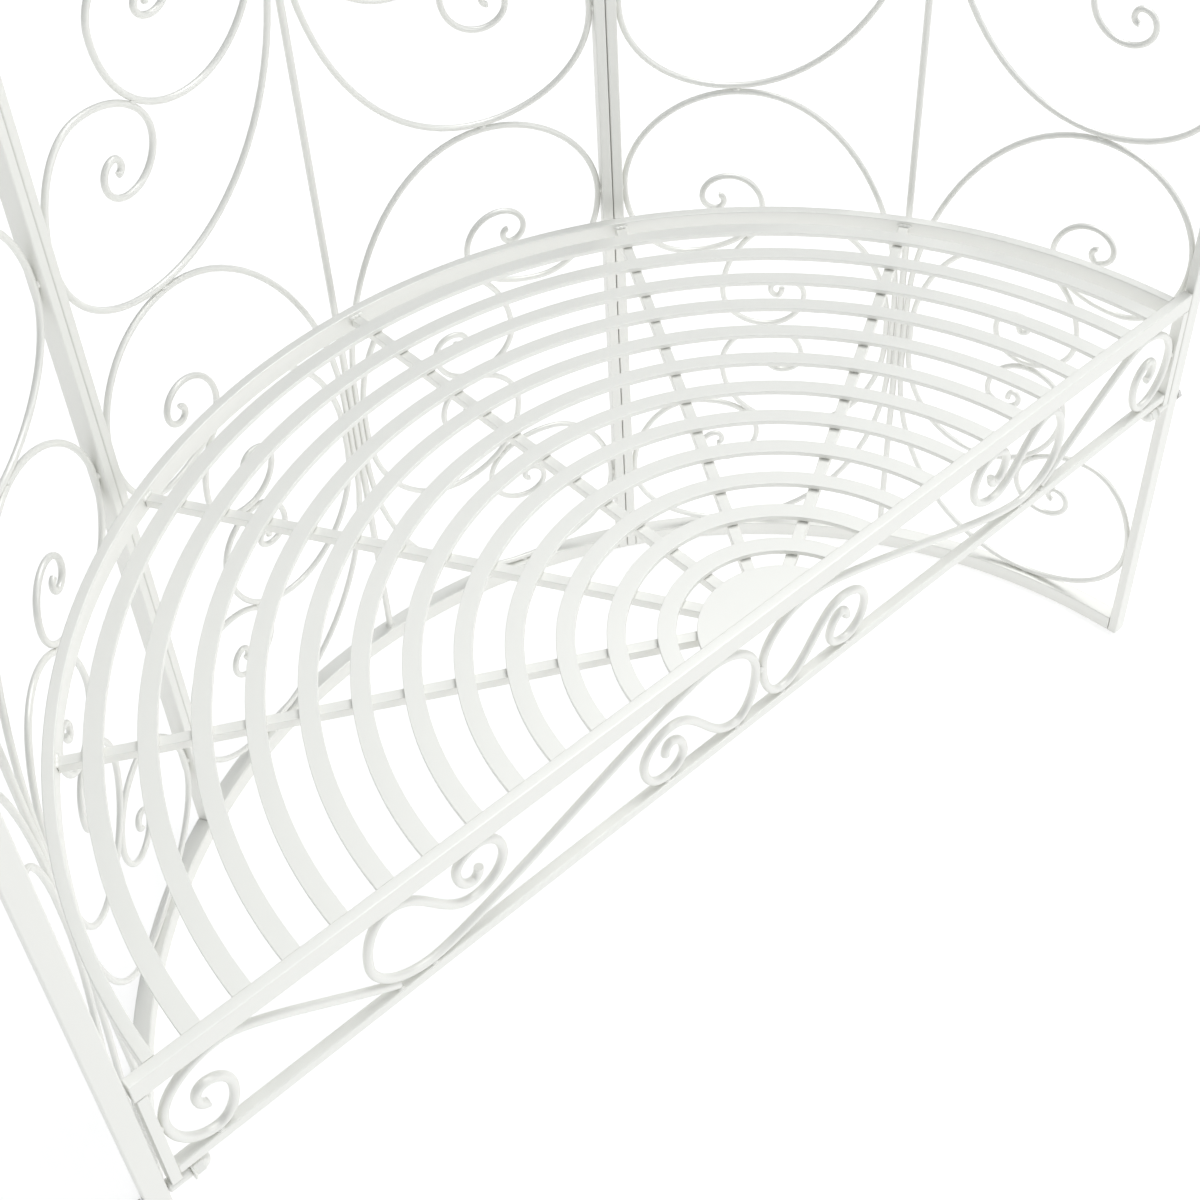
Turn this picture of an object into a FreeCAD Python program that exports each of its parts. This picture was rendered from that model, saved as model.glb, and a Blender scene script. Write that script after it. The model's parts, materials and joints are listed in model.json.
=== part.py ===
"""Half-round garden gazebo with a slatted bench, in millimetres.

The origin is on the ground at the middle of the footprint. +X runs right along the open front,
+Y runs to the back of the wall and +Z is up. The wall is three equal curved panels of scrollwork
in frames of flat tube. The bench is a half disc of slats with a scrolled apron under its front rail,
and four bent ribs carry a hub and a finial above it. Every piece is laid out about the axis of the
round wall and moved to the origin at the end.
"""
import FreeCAD, Part
import math
import os

# Wall frame: flat tube with its broad side along the radius
WALL_INNER_RADIUS = 542.0
TUBE_DEPTH = 16.0
TUBE_WIDTH = 9.5
TUBE_WALL = 1.5
PANEL_COUNT = 3
FRONT_SETBACK = 19.5
PANEL_GAP = 0.6
RAIL_HEIGHT = 18.0
ROD_DIAMETER = 6.5

# Scrollwork rows, and the open bay above them
SCROLL_ROWS = 2
ROW_HEIGHT = 543.0
OPEN_BAY_HEIGHT = 560.0
SCROLL_BAR = 5.2
LARGE_STRAIGHT = 37.0
SMALL_STRAIGHT = 11.0
# Reach along the wall and rise of each quarter turn, from the outer turn to the tip of the curl
LARGE_APPROACH_SHARE = 0.605
LARGE_SIDE_RISE = 90.0
LARGE_TURNS = ((62.0, 83.0), (68.0, 46.0), (34.0, 37.0), (23.0, 20.0), (13.5, 15.0), (7.0, 8.0))
SMALL_BOTTOM_REACH = 88.0
SMALL_SCROLL_INSET = 96.932
SMALL_TURNS = ((45.0, 43.0), (35.0, 36.0), (19.0, 18.0), (14.0, 11.0), (7.0, 8.0))

# Bench seat
SEAT_HEIGHT = 450.0
SLAT_COUNT = 12
INNER_SLAT_RADIUS = 79.0
SLAT_WIDTH = 14.0
SLAT_THICKNESS = 4.0
SEAT_TUBE_WIDTH = 9.0
SEAT_TUBE_HEIGHT = 18.0
RIM_GAP = 18.5
RIM_CLEARANCE = 16.0
RADIAL_BAR = 9.0
RADIAL_START = 45.0
# The radial bars aim at a point this far behind the wall's axis
RADIAL_AIM = 16.0
HUB_PLATE_RADIUS = 64.0

# Front apron under the bench
APRON_GAP = 93.0
APRON_RAIL = 9.0
APRON_BAR = 7.0
APRON_END_BAR = 10.0
END_BAR_TAIL = 20.0
END_SCROLL_REACH = 161.5
APRON_TOP_REACH = 48.0
APRON_LOOP_REACH = 22.0
END_LOOP_REACH = 30.0
APRON_SWAY = 67.5
APRON_CURL_TOP = 57.0
APRON_CURL = ((27.5, 26.0), (21.5, 27.2), (18.5, 16.0), (12.5, 19.5), (6.0, 10.0))
END_CURL = ((18.0, 30.0), (17.0, 23.0), (8.0, 10.0), (7.0, 12.0))

# Roof
RIB_WIDTH = 12.0
RIB_DEPTH = 16.0
RIB_FOOT_THICKNESS = 5.0
ROOF_HUB_RADIUS = 34.0
ROOF_HUB_HEIGHT = 44.0
ROOF_RING_BAR = 8.0
ROOF_RING_ANGLE = 42.0
FINIAL_NECK_RADIUS = 9.0
FINIAL_BALL_RADIUS = 30.0
FINIAL_SPIKE_HEIGHT = 62.0
FINIAL_TIP_RADIUS = 1.5

# Bolts
BOLT_DIAMETER = 6.0
BOLT_HOLE_PLAY = 0.3
HEAD_WIDTH = 10.0
HEAD_HEIGHT = 4.0
NUT_HEIGHT = 5.0
PANEL_BOLT_INSET = 70.0

# Fits
TOUCH = 0.3

# Flat facets that stand for round shapes
SAGITTA = 1.0
FLATNESS = 1e-6
LARGE_FACETS = 3
MIDDLE_FACETS = 2
LARGE_QUARTER = 50.0
SMALL_QUARTER = 18.5
BAR_SIDES = 8
HUB_SIDES = 24
FINIAL_SIDES = 12
FINIAL_BALL_STEPS = 6

# Derived sizes
WALL_RADIUS = WALL_INNER_RADIUS + TUBE_DEPTH / 2
WALL_OUTER_RADIUS = WALL_INNER_RADIUS + TUBE_DEPTH
FRONT_ANGLE = math.degrees(math.asin(FRONT_SETBACK / WALL_INNER_RADIUS))
PANEL_ANGLE = (180.0 - 2 * FRONT_ANGLE) / PANEL_COUNT
JOINTS = [FRONT_ANGLE + PANEL_ANGLE * i for i in range(PANEL_COUNT + 1)]
TUBE_SETBACK = PANEL_GAP / 2 + TUBE_WIDTH
HALF_BAY = WALL_RADIUS * math.radians(PANEL_ANGLE / 2) - TUBE_SETBACK
SMALL_SCROLL_START = ROD_DIAMETER / 2 + 2 * TOUCH + 1.5 * SCROLL_BAR
SMALL_SIDE_REACH = HALF_BAY - SMALL_SCROLL_INSET - SMALL_SCROLL_START - SMALL_BOTTOM_REACH
MIDDLE_RAIL_BOTTOM = RAIL_HEIGHT + SCROLL_ROWS * ROW_HEIGHT
TOP_RAIL_BOTTOM = MIDDLE_RAIL_BOTTOM + RAIL_HEIGHT + OPEN_BAY_HEIGHT
WALL_HEIGHT = TOP_RAIL_BOTTOM + RAIL_HEIGHT
SLAT_BOTTOM = SEAT_HEIGHT - SLAT_THICKNESS
APRON_MIDDLE_Y = FRONT_SETBACK + TUBE_WIDTH / 2
FRONT_RAIL_BACK = APRON_MIDDLE_Y + SEAT_TUBE_WIDTH / 2
FRONT_RAIL_FRONT = FRONT_RAIL_BACK - SEAT_TUBE_WIDTH
SEAT_TUBE_BOTTOM = SEAT_HEIGHT - SEAT_TUBE_HEIGHT
RIM_OUTER_RADIUS = WALL_INNER_RADIUS - RIM_CLEARANCE
RIM_INNER_RADIUS = RIM_OUTER_RADIUS - SEAT_TUBE_WIDTH
OUTER_SLAT_RADIUS = RIM_INNER_RADIUS - RIM_GAP
SLAT_PITCH = (OUTER_SLAT_RADIUS - SLAT_WIDTH - INNER_SLAT_RADIUS) / (SLAT_COUNT - 1)
SEAT_HALF_WIDTH = (
    WALL_INNER_RADIUS * math.cos(math.radians(FRONT_ANGLE))
    - TUBE_SETBACK * math.sin(math.radians(FRONT_ANGLE))
    - TOUCH
)
APRON_RAIL_TOP = SEAT_TUBE_BOTTOM - APRON_GAP
APRON_HALF = SEAT_HALF_WIDTH - APRON_END_BAR
BOLT_Z = APRON_RAIL_TOP - APRON_RAIL - END_BAR_TAIL / 2
SPRING_Z = WALL_HEIGHT + RIB_FOOT_THICKNESS
HOLE_DIAMETER = BOLT_DIAMETER + 2 * BOLT_HOLE_PLAY
FOOTPRINT_MIDDLE = (WALL_OUTER_RADIUS - ROOF_HUB_RADIUS) / 2
UP = FreeCAD.Vector(0, 0, 1)
AXIS = FreeCAD.Vector(0, 0, 0)


def polar(radius, angle, z=0.0):
    """Point at a radius and an angle in degrees about the wall's axis."""
    turn = math.radians(angle)
    return FreeCAD.Vector(radius * math.cos(turn), radius * math.sin(turn), z)


def turned(shape, angle):
    """Copy of a shape turned about the wall's axis."""
    copy = shape.copy()
    copy.rotate(AXIS, UP, angle)
    return copy


def block(corner, far_corner):
    """Box between two opposite corners."""
    size = [b - a for a, b in zip(corner, far_corner)]
    return Part.makeBox(*size, FreeCAD.Vector(*corner))


def half_round(outline, front_y):
    """Half-round bar about the wall's axis, from (radius, level) corners, cut straight at the front."""
    facets = arc_facets(outline[0][0], 180)
    sections = []
    for i in range(facets + 1):
        ring = []
        for radius, level in outline:
            start = math.degrees(math.asin(front_y / radius))
            ring.append(polar(radius, start + (180 - 2 * start) * i / facets, level))
        sections.append(ring)
    return skin(sections)


def arc_facets(radius, angle):
    """Flat facets that keep to an arc within the sagitta allowed."""
    return math.ceil(math.radians(angle) / (2 * math.acos(1 - SAGITTA / radius)))


def ring_sector(inner, outer, start, end, bottom, height):
    """Part of a flat ring between two angles in degrees."""
    corners = [(inner, bottom), (outer, bottom), (outer, bottom + height), (inner, bottom + height)]
    facets = arc_facets(outer, end - start)
    angles = [start + (end - start) * i / facets for i in range(facets + 1)]
    return skin([[polar(radius, angle, z) for radius, z in corners] for angle in angles])


def prism(across, sides, height, base, axis):
    """Prism of a width across its flats, on a base point and along an axis."""
    step = 360.0 / sides
    corner = across / 2 / math.cos(math.radians(step / 2))
    around = [polar(corner, step * (i + 0.5)) for i in range(sides)]
    solid = Part.Face(Part.makePolygon(around + around[:1])).extrude(UP * height)
    solid.Placement = FreeCAD.Placement(base, FreeCAD.Rotation(UP, axis))
    return solid


def facet_count(reach, rise):
    """Straight facets that stand for one quarter turn, more on a large one."""
    size = max(reach, rise)
    if size > LARGE_QUARTER:
        return LARGE_FACETS
    return MIDDLE_FACETS if size > SMALL_QUARTER else 1


def add_quarter(path, reach, rise, level_start):
    """Append a quarter of an ellipse that starts level or upright at the path's last point."""
    u, v = path[-1]
    facets = facet_count(abs(reach), abs(rise))
    for i in range(1, facets + 1):
        turn = math.pi / 2 * i / facets
        along, across = math.sin(turn), 1 - math.cos(turn)
        if level_start:
            path.append((u + reach * along, v + rise * across))
        else:
            path.append((u + reach * across, v + rise * along))


def add_curl(path, turns, out, up, level_start):
    """Append quarter turns that wind inwards. out and up give the first turn's directions."""
    for reach, rise in turns:
        add_quarter(path, out * reach, up * rise, level_start)
        if level_start:
            out = -out
        else:
            up = -up
        level_start = not level_start


def add_sway(path, reach, rise):
    """Append an S bend that starts and ends level."""
    u, v = path[-1]
    facets = 2 * MIDDLE_FACETS
    for i in range(1, facets + 1):
        share = i / facets
        path.append((u + reach * share, v + rise * (1 - math.cos(math.pi * share)) / 2))


def spacing(path, other):
    """Least distance between the middle lines of two faceted bars."""
    least = float("inf")
    for points, line in ((path, other), (other, path)):
        for (u, v) in points:
            for (u0, v0), (u1, v1) in zip(line, line[1:]):
                du, dv = u1 - u0, v1 - v0
                share = ((u - u0) * du + (v - v0) * dv) / (du * du + dv * dv)
                share = min(max(share, 0.0), 1.0)
                least = min(least, math.hypot(u - u0 - share * du, v - v0 - share * dv))
    return least


def skin(sections):
    """Solid through a row of polygons with matching corners, in flat faces."""
    faces = [Part.Face(Part.makePolygon(ring + ring[:1])) for ring in (sections[0], sections[-1])]
    for ring, ahead in zip(sections, sections[1:]):
        for i in range(len(ring)):
            j = (i + 1) % len(ring)
            a, b, c, d = ring[i], ring[j], ahead[j], ahead[i]
            lift = (b - a).cross(c - a).normalize().dot(d - a)
            outlines = [(a, b, c, d)] if abs(lift) < FLATNESS else [(a, b, c), (a, c, d)]
            faces += [Part.Face(Part.makePolygon([*outline, a])) for outline in outlines]
    shell = Part.makeShell(faces)
    shell.sewShape()
    solid = Part.makeSolid(shell)
    if solid.Volume < 0:
        solid.reverse()
    return solid


def bar_along(path, size, place):
    """Square bar on a path of (u, v) points, with mitred facets.

    place(u, v) gives the point in space and the directions of u, of v and out of their surface.
    """
    half = size / 2
    sections = []
    for i, (u, v) in enumerate(path):
        before = path[max(i - 1, 0)]
        after = path[min(i + 1, len(path) - 1)]
        into = (u - before[0], v - before[1]) if i else (after[0] - u, after[1] - v)
        out = (after[0] - u, after[1] - v) if i < len(path) - 1 else into
        turn_in, turn_out = math.atan2(into[1], into[0]), math.atan2(out[1], out[0])
        bend = math.remainder(turn_out - turn_in, 2 * math.pi)
        normal = turn_in + bend / 2 + math.pi / 2
        reach = half / math.cos(bend / 2)
        point, along, up, outwards = place(u, v)
        side = along * (reach * math.cos(normal)) + up * (reach * math.sin(normal))
        depth = outwards * half
        corners = [side + depth, side - depth, -side - depth, -side + depth]
        sections.append([point + corner for corner in corners])
    return skin(sections)


def mirrored_double(half_path, middle):
    """Full path of a double-ended scroll from its lower half, mirrored about a level."""
    upper = [(u, 2 * middle - v) for u, v in half_path]
    return upper[::-1] + half_path


def large_scroll_half():
    """Lower half of a large scroll, from the rod to the curl, with the row's floor at zero."""
    middle = ROW_HEIGHT / 2
    start = ROD_DIAMETER / 2 + TOUCH + SCROLL_BAR / 2
    side = HALF_BAY - TOUCH - SCROLL_BAR / 2
    floor = TOUCH + SCROLL_BAR / 2
    approach = LARGE_APPROACH_SHARE * (side - start)
    path = [(start, middle - LARGE_STRAIGHT)]
    add_quarter(path, approach, floor - path[-1][1], False)
    add_quarter(path, side - path[-1][0], LARGE_SIDE_RISE, True)
    add_curl(path, LARGE_TURNS, -1, 1, False)
    return path


def small_scroll_half(bottom):
    """Lower half of a small scroll whose lowest point lies at the level bottom."""
    middle = ROW_HEIGHT / 2
    top = middle - TOUCH / 2 - SCROLL_BAR / 2
    side_level = top - SMALL_TURNS[0][1]
    path = [(SMALL_SCROLL_START, middle - SMALL_STRAIGHT)]
    add_quarter(path, SMALL_BOTTOM_REACH, bottom - path[-1][1], False)
    add_quarter(path, SMALL_SIDE_REACH, side_level - bottom, True)
    add_curl(path, SMALL_TURNS, -1, 1, False)
    return path


def lowest_clear(make_path, neighbour, low, high, distance):
    """Value between low and high at which a bar's path just clears its neighbour."""
    for _ in range(40):
        middle = (low + high) / 2
        if spacing(make_path(middle), neighbour) < distance:
            low = middle
        else:
            high = middle
    return high


def wall_scrolls():
    """Paths of the large and the small scroll of one row, with the row's floor at zero."""
    large = large_scroll_half()
    floor = SCROLL_BAR / 2
    ceiling = ROW_HEIGHT / 2 - SMALL_TURNS[0][1] - SCROLL_BAR
    bottom = lowest_clear(small_scroll_half, large, floor, ceiling, SCROLL_BAR + TOUCH)
    small = small_scroll_half(bottom)
    return [mirrored_double(half, ROW_HEIGHT / 2) for half in (large, small)]


def on_wall(rod_angle, side, floor):
    """Placing on the round wall: u along it from the rod, v up from a row's floor."""

    def place(u, v):
        angle = rod_angle + side * math.degrees(u / WALL_RADIUS)
        return polar(WALL_RADIUS, angle, floor + v), polar(side, angle + 90), UP, polar(1, angle)

    return place


def on_apron(side):
    """Placing on the apron: u from its middle, v up from its lower rail."""

    def place(u, v):
        point = FreeCAD.Vector(side * u, APRON_MIDDLE_Y, APRON_RAIL_TOP + v)
        return point, FreeCAD.Vector(side, 0, 0), UP, FreeCAD.Vector(0, 1, 0)

    return place


def side_tube(joint, side, bolt_levels):
    """Upright tube on one side of a panel joint, drilled for the bolts through it."""
    near = PANEL_GAP / 2
    far = near + TUBE_WIDTH
    low, high = (near, far) if side > 0 else (-far, -near)
    outer = block((WALL_INNER_RADIUS, low, 0), (WALL_OUTER_RADIUS, high, WALL_HEIGHT))
    inner = block(
        (WALL_INNER_RADIUS + TUBE_WALL, low + TUBE_WALL, -1),
        (WALL_OUTER_RADIUS - TUBE_WALL, high - TUBE_WALL, WALL_HEIGHT + 1),
    )
    tube = outer.cut(inner)
    for level in bolt_levels:
        base = FreeCAD.Vector(WALL_RADIUS, low - 1, level)
        tube = tube.cut(prism(HOLE_DIAMETER, BAR_SIDES, TUBE_WIDTH + 2, base, FreeCAD.Vector(0, 1, 0)))
    return turned(tube, joint)


def panel_rail(panel, bottom, rod_hole=False):
    """Curved rail between a panel's side tubes."""
    margin = math.degrees(math.asin((TUBE_SETBACK + TOUCH) / WALL_INNER_RADIUS))
    start, end = JOINTS[panel] + margin, JOINTS[panel + 1] - margin
    rail = ring_sector(WALL_INNER_RADIUS, WALL_OUTER_RADIUS, start, end, bottom, RAIL_HEIGHT)
    if rod_hole:
        base = polar(WALL_RADIUS, 0, bottom - 1)
        hole = prism(ROD_DIAMETER + 2 * TOUCH, BAR_SIDES, RAIL_HEIGHT + 2, base, UP)
        rail = rail.cut(turned(hole, (start + end) / 2))
    return rail


def panel_rod(panel):
    """Round rod up the middle of a panel, from the bottom rail to the top rail."""
    base = polar(WALL_RADIUS, 0, RAIL_HEIGHT)
    rod = prism(ROD_DIAMETER, BAR_SIDES, TOP_RAIL_BOTTOM - RAIL_HEIGHT, base, UP)
    return turned(rod, JOINTS[panel] + PANEL_ANGLE / 2)


def panel_scrolls(panel, side, path):
    """One kind of scroll on one side of a panel's rod, in every row."""
    rod_angle = JOINTS[panel] + PANEL_ANGLE / 2
    return Part.makeCompound(
        [
            bar_along(path, SCROLL_BAR, on_wall(rod_angle, side, RAIL_HEIGHT + row * ROW_HEIGHT))
            for row in range(SCROLL_ROWS)
        ]
    )


def panel_bolt_levels():
    """Heights of the bolts that join two panels, in the open bay."""
    bay = MIDDLE_RAIL_BOTTOM + RAIL_HEIGHT
    return [bay + PANEL_BOLT_INSET, bay + OPEN_BAY_HEIGHT - PANEL_BOLT_INSET]


def bolt(seat, length, axis):
    """Hexagon bolt with its head on a seat point and its shank along an axis."""
    head = prism(HEAD_WIDTH, 6, HEAD_HEIGHT, seat - axis * HEAD_HEIGHT, axis)
    return head.fuse(prism(BOLT_DIAMETER, BAR_SIDES, length, seat, axis))


def nut(seat, axis):
    """Hexagon nut on a seat point."""
    bore = prism(BOLT_DIAMETER, BAR_SIDES, NUT_HEIGHT, seat, axis)
    return prism(HEAD_WIDTH, 6, NUT_HEIGHT, seat, axis).cut(bore)


def panel_bolts():
    """Bolts and nuts through the side tubes where two panels meet."""
    bolts, nuts = [], []
    grip = PANEL_GAP + 2 * TUBE_WIDTH
    along = FreeCAD.Vector(0, 1, 0)
    for joint in JOINTS[1:-1]:
        for level in panel_bolt_levels():
            start = FreeCAD.Vector(WALL_RADIUS, -grip / 2, level)
            end = FreeCAD.Vector(WALL_RADIUS, grip / 2, level)
            bolts.append(turned(bolt(start, grip + NUT_HEIGHT, along), joint))
            nuts.append(turned(nut(end, along), joint))
    return Part.makeCompound(bolts), Part.makeCompound(nuts)


def slats():
    """Half-round flat bars of the seat, all about the wall's axis, ending on the front rail."""
    bars = []
    for i in range(SLAT_COUNT):
        outer = OUTER_SLAT_RADIUS - i * SLAT_PITCH
        inner = outer - SLAT_WIDTH
        outline = [(outer, SLAT_BOTTOM), (outer, SEAT_HEIGHT), (inner, SEAT_HEIGHT), (inner, SLAT_BOTTOM)]
        bars.append(half_round(outline, FRONT_RAIL_BACK))
    return Part.makeCompound(bars)


def behind_front_rail(shape):
    """What lies behind the back face of the front rail."""
    reach = WALL_OUTER_RADIUS
    keep = block((-reach, FRONT_RAIL_BACK, 0), (reach, reach, WALL_HEIGHT))
    return shape.common(keep)


def rim():
    """Half-round rim of the same tube as the front rail, on edge and level with the slats' tops."""
    inner, outer = RIM_INNER_RADIUS, RIM_OUTER_RADIUS
    low, high = SEAT_TUBE_BOTTOM, SEAT_HEIGHT
    outline = [(outer, low), (outer, high), (inner, high), (inner, low)]
    return half_round(outline, FRONT_RAIL_BACK)


def radial_bars():
    """Square bars under the slats, from the hub plate to the rim where a joint or a rod stands."""
    aim = FreeCAD.Vector(0, RADIAL_AIM, 0)
    half = RADIAL_BAR / 2
    bars = []
    for i in range(1, 2 * PANEL_COUNT):
        rim_angle = FRONT_ANGLE + PANEL_ANGLE / 2 * i
        run = polar(RIM_INNER_RADIUS - TOUCH, rim_angle) - aim
        bar_angle = math.degrees(math.atan2(run.y, run.x))
        slant = half * math.tan(math.radians(abs(bar_angle - rim_angle)))
        bar = block((RADIAL_START, -half, SLAT_BOTTOM - RADIAL_BAR), (run.Length - slant, half, SLAT_BOTTOM))
        bar = turned(bar, bar_angle)
        bar.translate(aim)
        bars.append(behind_front_rail(bar))
    return Part.makeCompound(bars)


def hub_plate():
    """Part-round plate over the inner ends of the radial bars, against the front rail."""
    start = math.degrees(math.asin(FRONT_RAIL_BACK / HUB_PLATE_RADIUS))
    facets = arc_facets(HUB_PLATE_RADIUS, 180)
    turns = [start + (180 - 2 * start) * i / facets for i in range(facets + 1)]
    around = [polar(HUB_PLATE_RADIUS, turn, SLAT_BOTTOM) for turn in turns]
    return Part.Face(Part.makePolygon(around + around[:1])).extrude(UP * SLAT_THICKNESS)


def front_rail():
    """Straight flat tube on edge along the front of the seat, between the front side tubes."""
    return block(
        (-SEAT_HALF_WIDTH, FRONT_RAIL_FRONT, SEAT_TUBE_BOTTOM),
        (SEAT_HALF_WIDTH, FRONT_RAIL_BACK, SEAT_HEIGHT),
    )


def apron_rail():
    """Straight lower rail of the apron, between its end bars."""
    half = APRON_RAIL / 2
    return block(
        (-APRON_HALF, APRON_MIDDLE_Y - half, APRON_RAIL_TOP - APRON_RAIL),
        (APRON_HALF, APRON_MIDDLE_Y + half, APRON_RAIL_TOP),
    )


def apron_end_bars():
    """Upright bars at both ends of the apron, drilled for the seat bolts below the lower rail."""
    half = APRON_END_BAR / 2
    bar = block(
        (APRON_HALF, APRON_MIDDLE_Y - half, BOLT_Z - END_BAR_TAIL / 2),
        (SEAT_HALF_WIDTH, APRON_MIDDLE_Y + half, SEAT_TUBE_BOTTOM),
    )
    bar = bar.cut(seat_bolt_hole())
    return Part.makeCompound([bar, bar.mirror(AXIS, FreeCAD.Vector(1, 0, 0))])


def seat_bolt_hole():
    """Clearance hole of the right seat bolt, through the end bar and the front side tube."""
    base = FreeCAD.Vector(APRON_HALF - 1, APRON_MIDDLE_Y, BOLT_Z)
    length = WALL_OUTER_RADIUS + 1 - base.x
    return prism(HOLE_DIAMETER, BAR_SIDES, length, base, FreeCAD.Vector(1, 0, 0))


def seat_bolts():
    """Bolts from outside the front side tubes into nuts on the apron's end bars."""
    inwards = FreeCAD.Vector(-1, 0, 0)
    head_x = WALL_OUTER_RADIUS + TOUCH
    start = FreeCAD.Vector(head_x, APRON_MIDDLE_Y, BOLT_Z)
    nut_face = FreeCAD.Vector(APRON_HALF, APRON_MIDDLE_Y, BOLT_Z)
    right = [bolt(start, head_x - nut_face.x + NUT_HEIGHT, inwards), nut(nut_face, inwards)]
    across = FreeCAD.Vector(1, 0, 0)
    return [Part.makeCompound([piece, piece.mirror(AXIS, across)]) for piece in right]


def long_scroll_half():
    """Right half of the left-hand long scroll, from its middle to the curl beside the apron's middle."""
    low = TOUCH + APRON_BAR / 2
    high = APRON_GAP - low
    left = -APRON_HALF + END_SCROLL_REACH
    right = -APRON_BAR / 2 - TOUCH / 2
    top = right - APRON_TOP_REACH
    path = [(top, high)]
    add_quarter(path, APRON_TOP_REACH, APRON_GAP / 2 - high, True)
    add_quarter(path, -APRON_LOOP_REACH, low - APRON_GAP / 2, False)
    add_sway(path, -APRON_SWAY, APRON_CURL_TOP - low)
    add_curl(path, APRON_CURL, -1, -1, True)
    return path, (left + right) / 2


def long_scroll():
    """S scroll of the apron: two like halves, each the other turned half round, joined by a slope."""
    half, middle = long_scroll_half()
    turned_half = [(2 * middle - u, APRON_GAP - v) for u, v in half]
    return turned_half[::-1] + half


def end_scroll(foot):
    """End scroll of the apron: a slope up from a foot on the lower rail, round into a curl."""
    low = TOUCH + APRON_BAR / 2
    high = APRON_GAP - low
    left = -APRON_HALF + low
    top = left + APRON_TOP_REACH
    path = [(-foot, low + TOUCH), (top, high)]
    add_quarter(path, -APRON_TOP_REACH, APRON_GAP / 2 - high, True)
    add_quarter(path, END_LOOP_REACH, low - APRON_GAP / 2, False)
    add_curl(path, END_CURL, 1, 1, True)
    return path


def apron_scrolls():
    """The apron's two long scrolls and its two end scrolls, each pair mirrored about the middle."""
    long_path = long_scroll()
    reach = APRON_HALF - END_SCROLL_REACH
    foot = lowest_clear(end_scroll, long_path, reach - END_SCROLL_REACH / 2, APRON_HALF, APRON_BAR + TOUCH)
    return [
        Part.makeCompound([bar_along(path, APRON_BAR, on_apron(side)) for side in (1, -1)])
        for path in (long_path, end_scroll(foot))
    ]


def rib_angles():
    """Angle of each rib and the half width of its foot along the wall."""
    single = math.degrees((PANEL_GAP + TUBE_WIDTH) / 2 / WALL_RADIUS)
    first, last = JOINTS[0] + single, JOINTS[-1] - single
    pair_half = PANEL_GAP / 2 + TUBE_WIDTH
    inner = [(joint, pair_half) for joint in JOINTS[1:-1]]
    return [(first, TUBE_WIDTH / 2)] + inner + [(last, TUBE_WIDTH / 2)]


def roof_rib(angle):
    """Quarter-round rib from the top of the wall to the roof hub."""
    inner, outer, half = WALL_RADIUS - RIB_DEPTH / 2, WALL_RADIUS + RIB_DEPTH / 2, RIB_WIDTH / 2
    end = math.degrees(math.acos((ROOF_HUB_RADIUS + TOUCH) / inner))
    facets = arc_facets(outer, end)
    sections = []
    for i in range(facets + 1):
        rise = math.radians(end * i / facets)
        level, lift = math.cos(rise), math.sin(rise)
        corners = [(inner, -half), (outer, -half), (outer, half), (inner, half)]
        sections.append(
            [FreeCAD.Vector(radius * level, across, SPRING_Z + radius * lift) for radius, across in corners]
        )
    return turned(skin(sections), angle)


def rib_feet():
    """Plates under the ribs, on the tops of the side tubes."""
    return Part.makeCompound(
        [
            turned(
                block(
                    (WALL_INNER_RADIUS, -half, WALL_HEIGHT),
                    (WALL_OUTER_RADIUS, half, SPRING_Z),
                ),
                angle,
            )
            for angle, half in rib_angles()
        ]
    )


def roof_ring():
    """Bars that tie neighbouring ribs together part of the way up the roof."""
    rise = math.radians(ROOF_RING_ANGLE)
    radius = WALL_RADIUS * math.cos(rise)
    bottom = SPRING_Z + WALL_RADIUS * math.sin(rise) - ROOF_RING_BAR / 2
    margin = math.degrees(math.asin((RIB_WIDTH / 2 + TOUCH) / (radius - ROOF_RING_BAR / 2)))
    angles = [angle for angle, _ in rib_angles()]
    half = ROOF_RING_BAR / 2
    return Part.makeCompound(
        [
            ring_sector(radius - half, radius + half, start + margin, end - margin, bottom, ROOF_RING_BAR)
            for start, end in zip(angles, angles[1:])
        ]
    )


def roof_hub():
    """Round boss that the ribs meet at the top of the roof."""
    base = FreeCAD.Vector(0, 0, SPRING_Z + WALL_RADIUS - ROOF_HUB_HEIGHT / 2)
    return prism(2 * ROOF_HUB_RADIUS * math.cos(math.pi / HUB_SIDES), HUB_SIDES, ROOF_HUB_HEIGHT, base, UP)


def finial():
    """Turned finial on the roof hub: a neck, a ball and a spike."""
    base = SPRING_Z + WALL_RADIUS + ROOF_HUB_HEIGHT / 2
    neck_turn = math.acos(FINIAL_NECK_RADIUS / FINIAL_BALL_RADIUS)
    ball_z = base + FINIAL_NECK_RADIUS + FINIAL_BALL_RADIUS * math.sin(neck_turn)
    profile = [(FINIAL_NECK_RADIUS, base)]
    for i in range(FINIAL_BALL_STEPS + 1):
        turn = neck_turn * (2 * i / FINIAL_BALL_STEPS - 1)
        profile.append((FINIAL_BALL_RADIUS * math.cos(turn), ball_z + FINIAL_BALL_RADIUS * math.sin(turn)))
    profile.append((FINIAL_TIP_RADIUS, profile[-1][1] + FINIAL_SPIKE_HEIGHT))
    step = 360.0 / FINIAL_SIDES
    return skin([[polar(radius, step * i, z) for i in range(FINIAL_SIDES)] for radius, z in profile])


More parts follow.
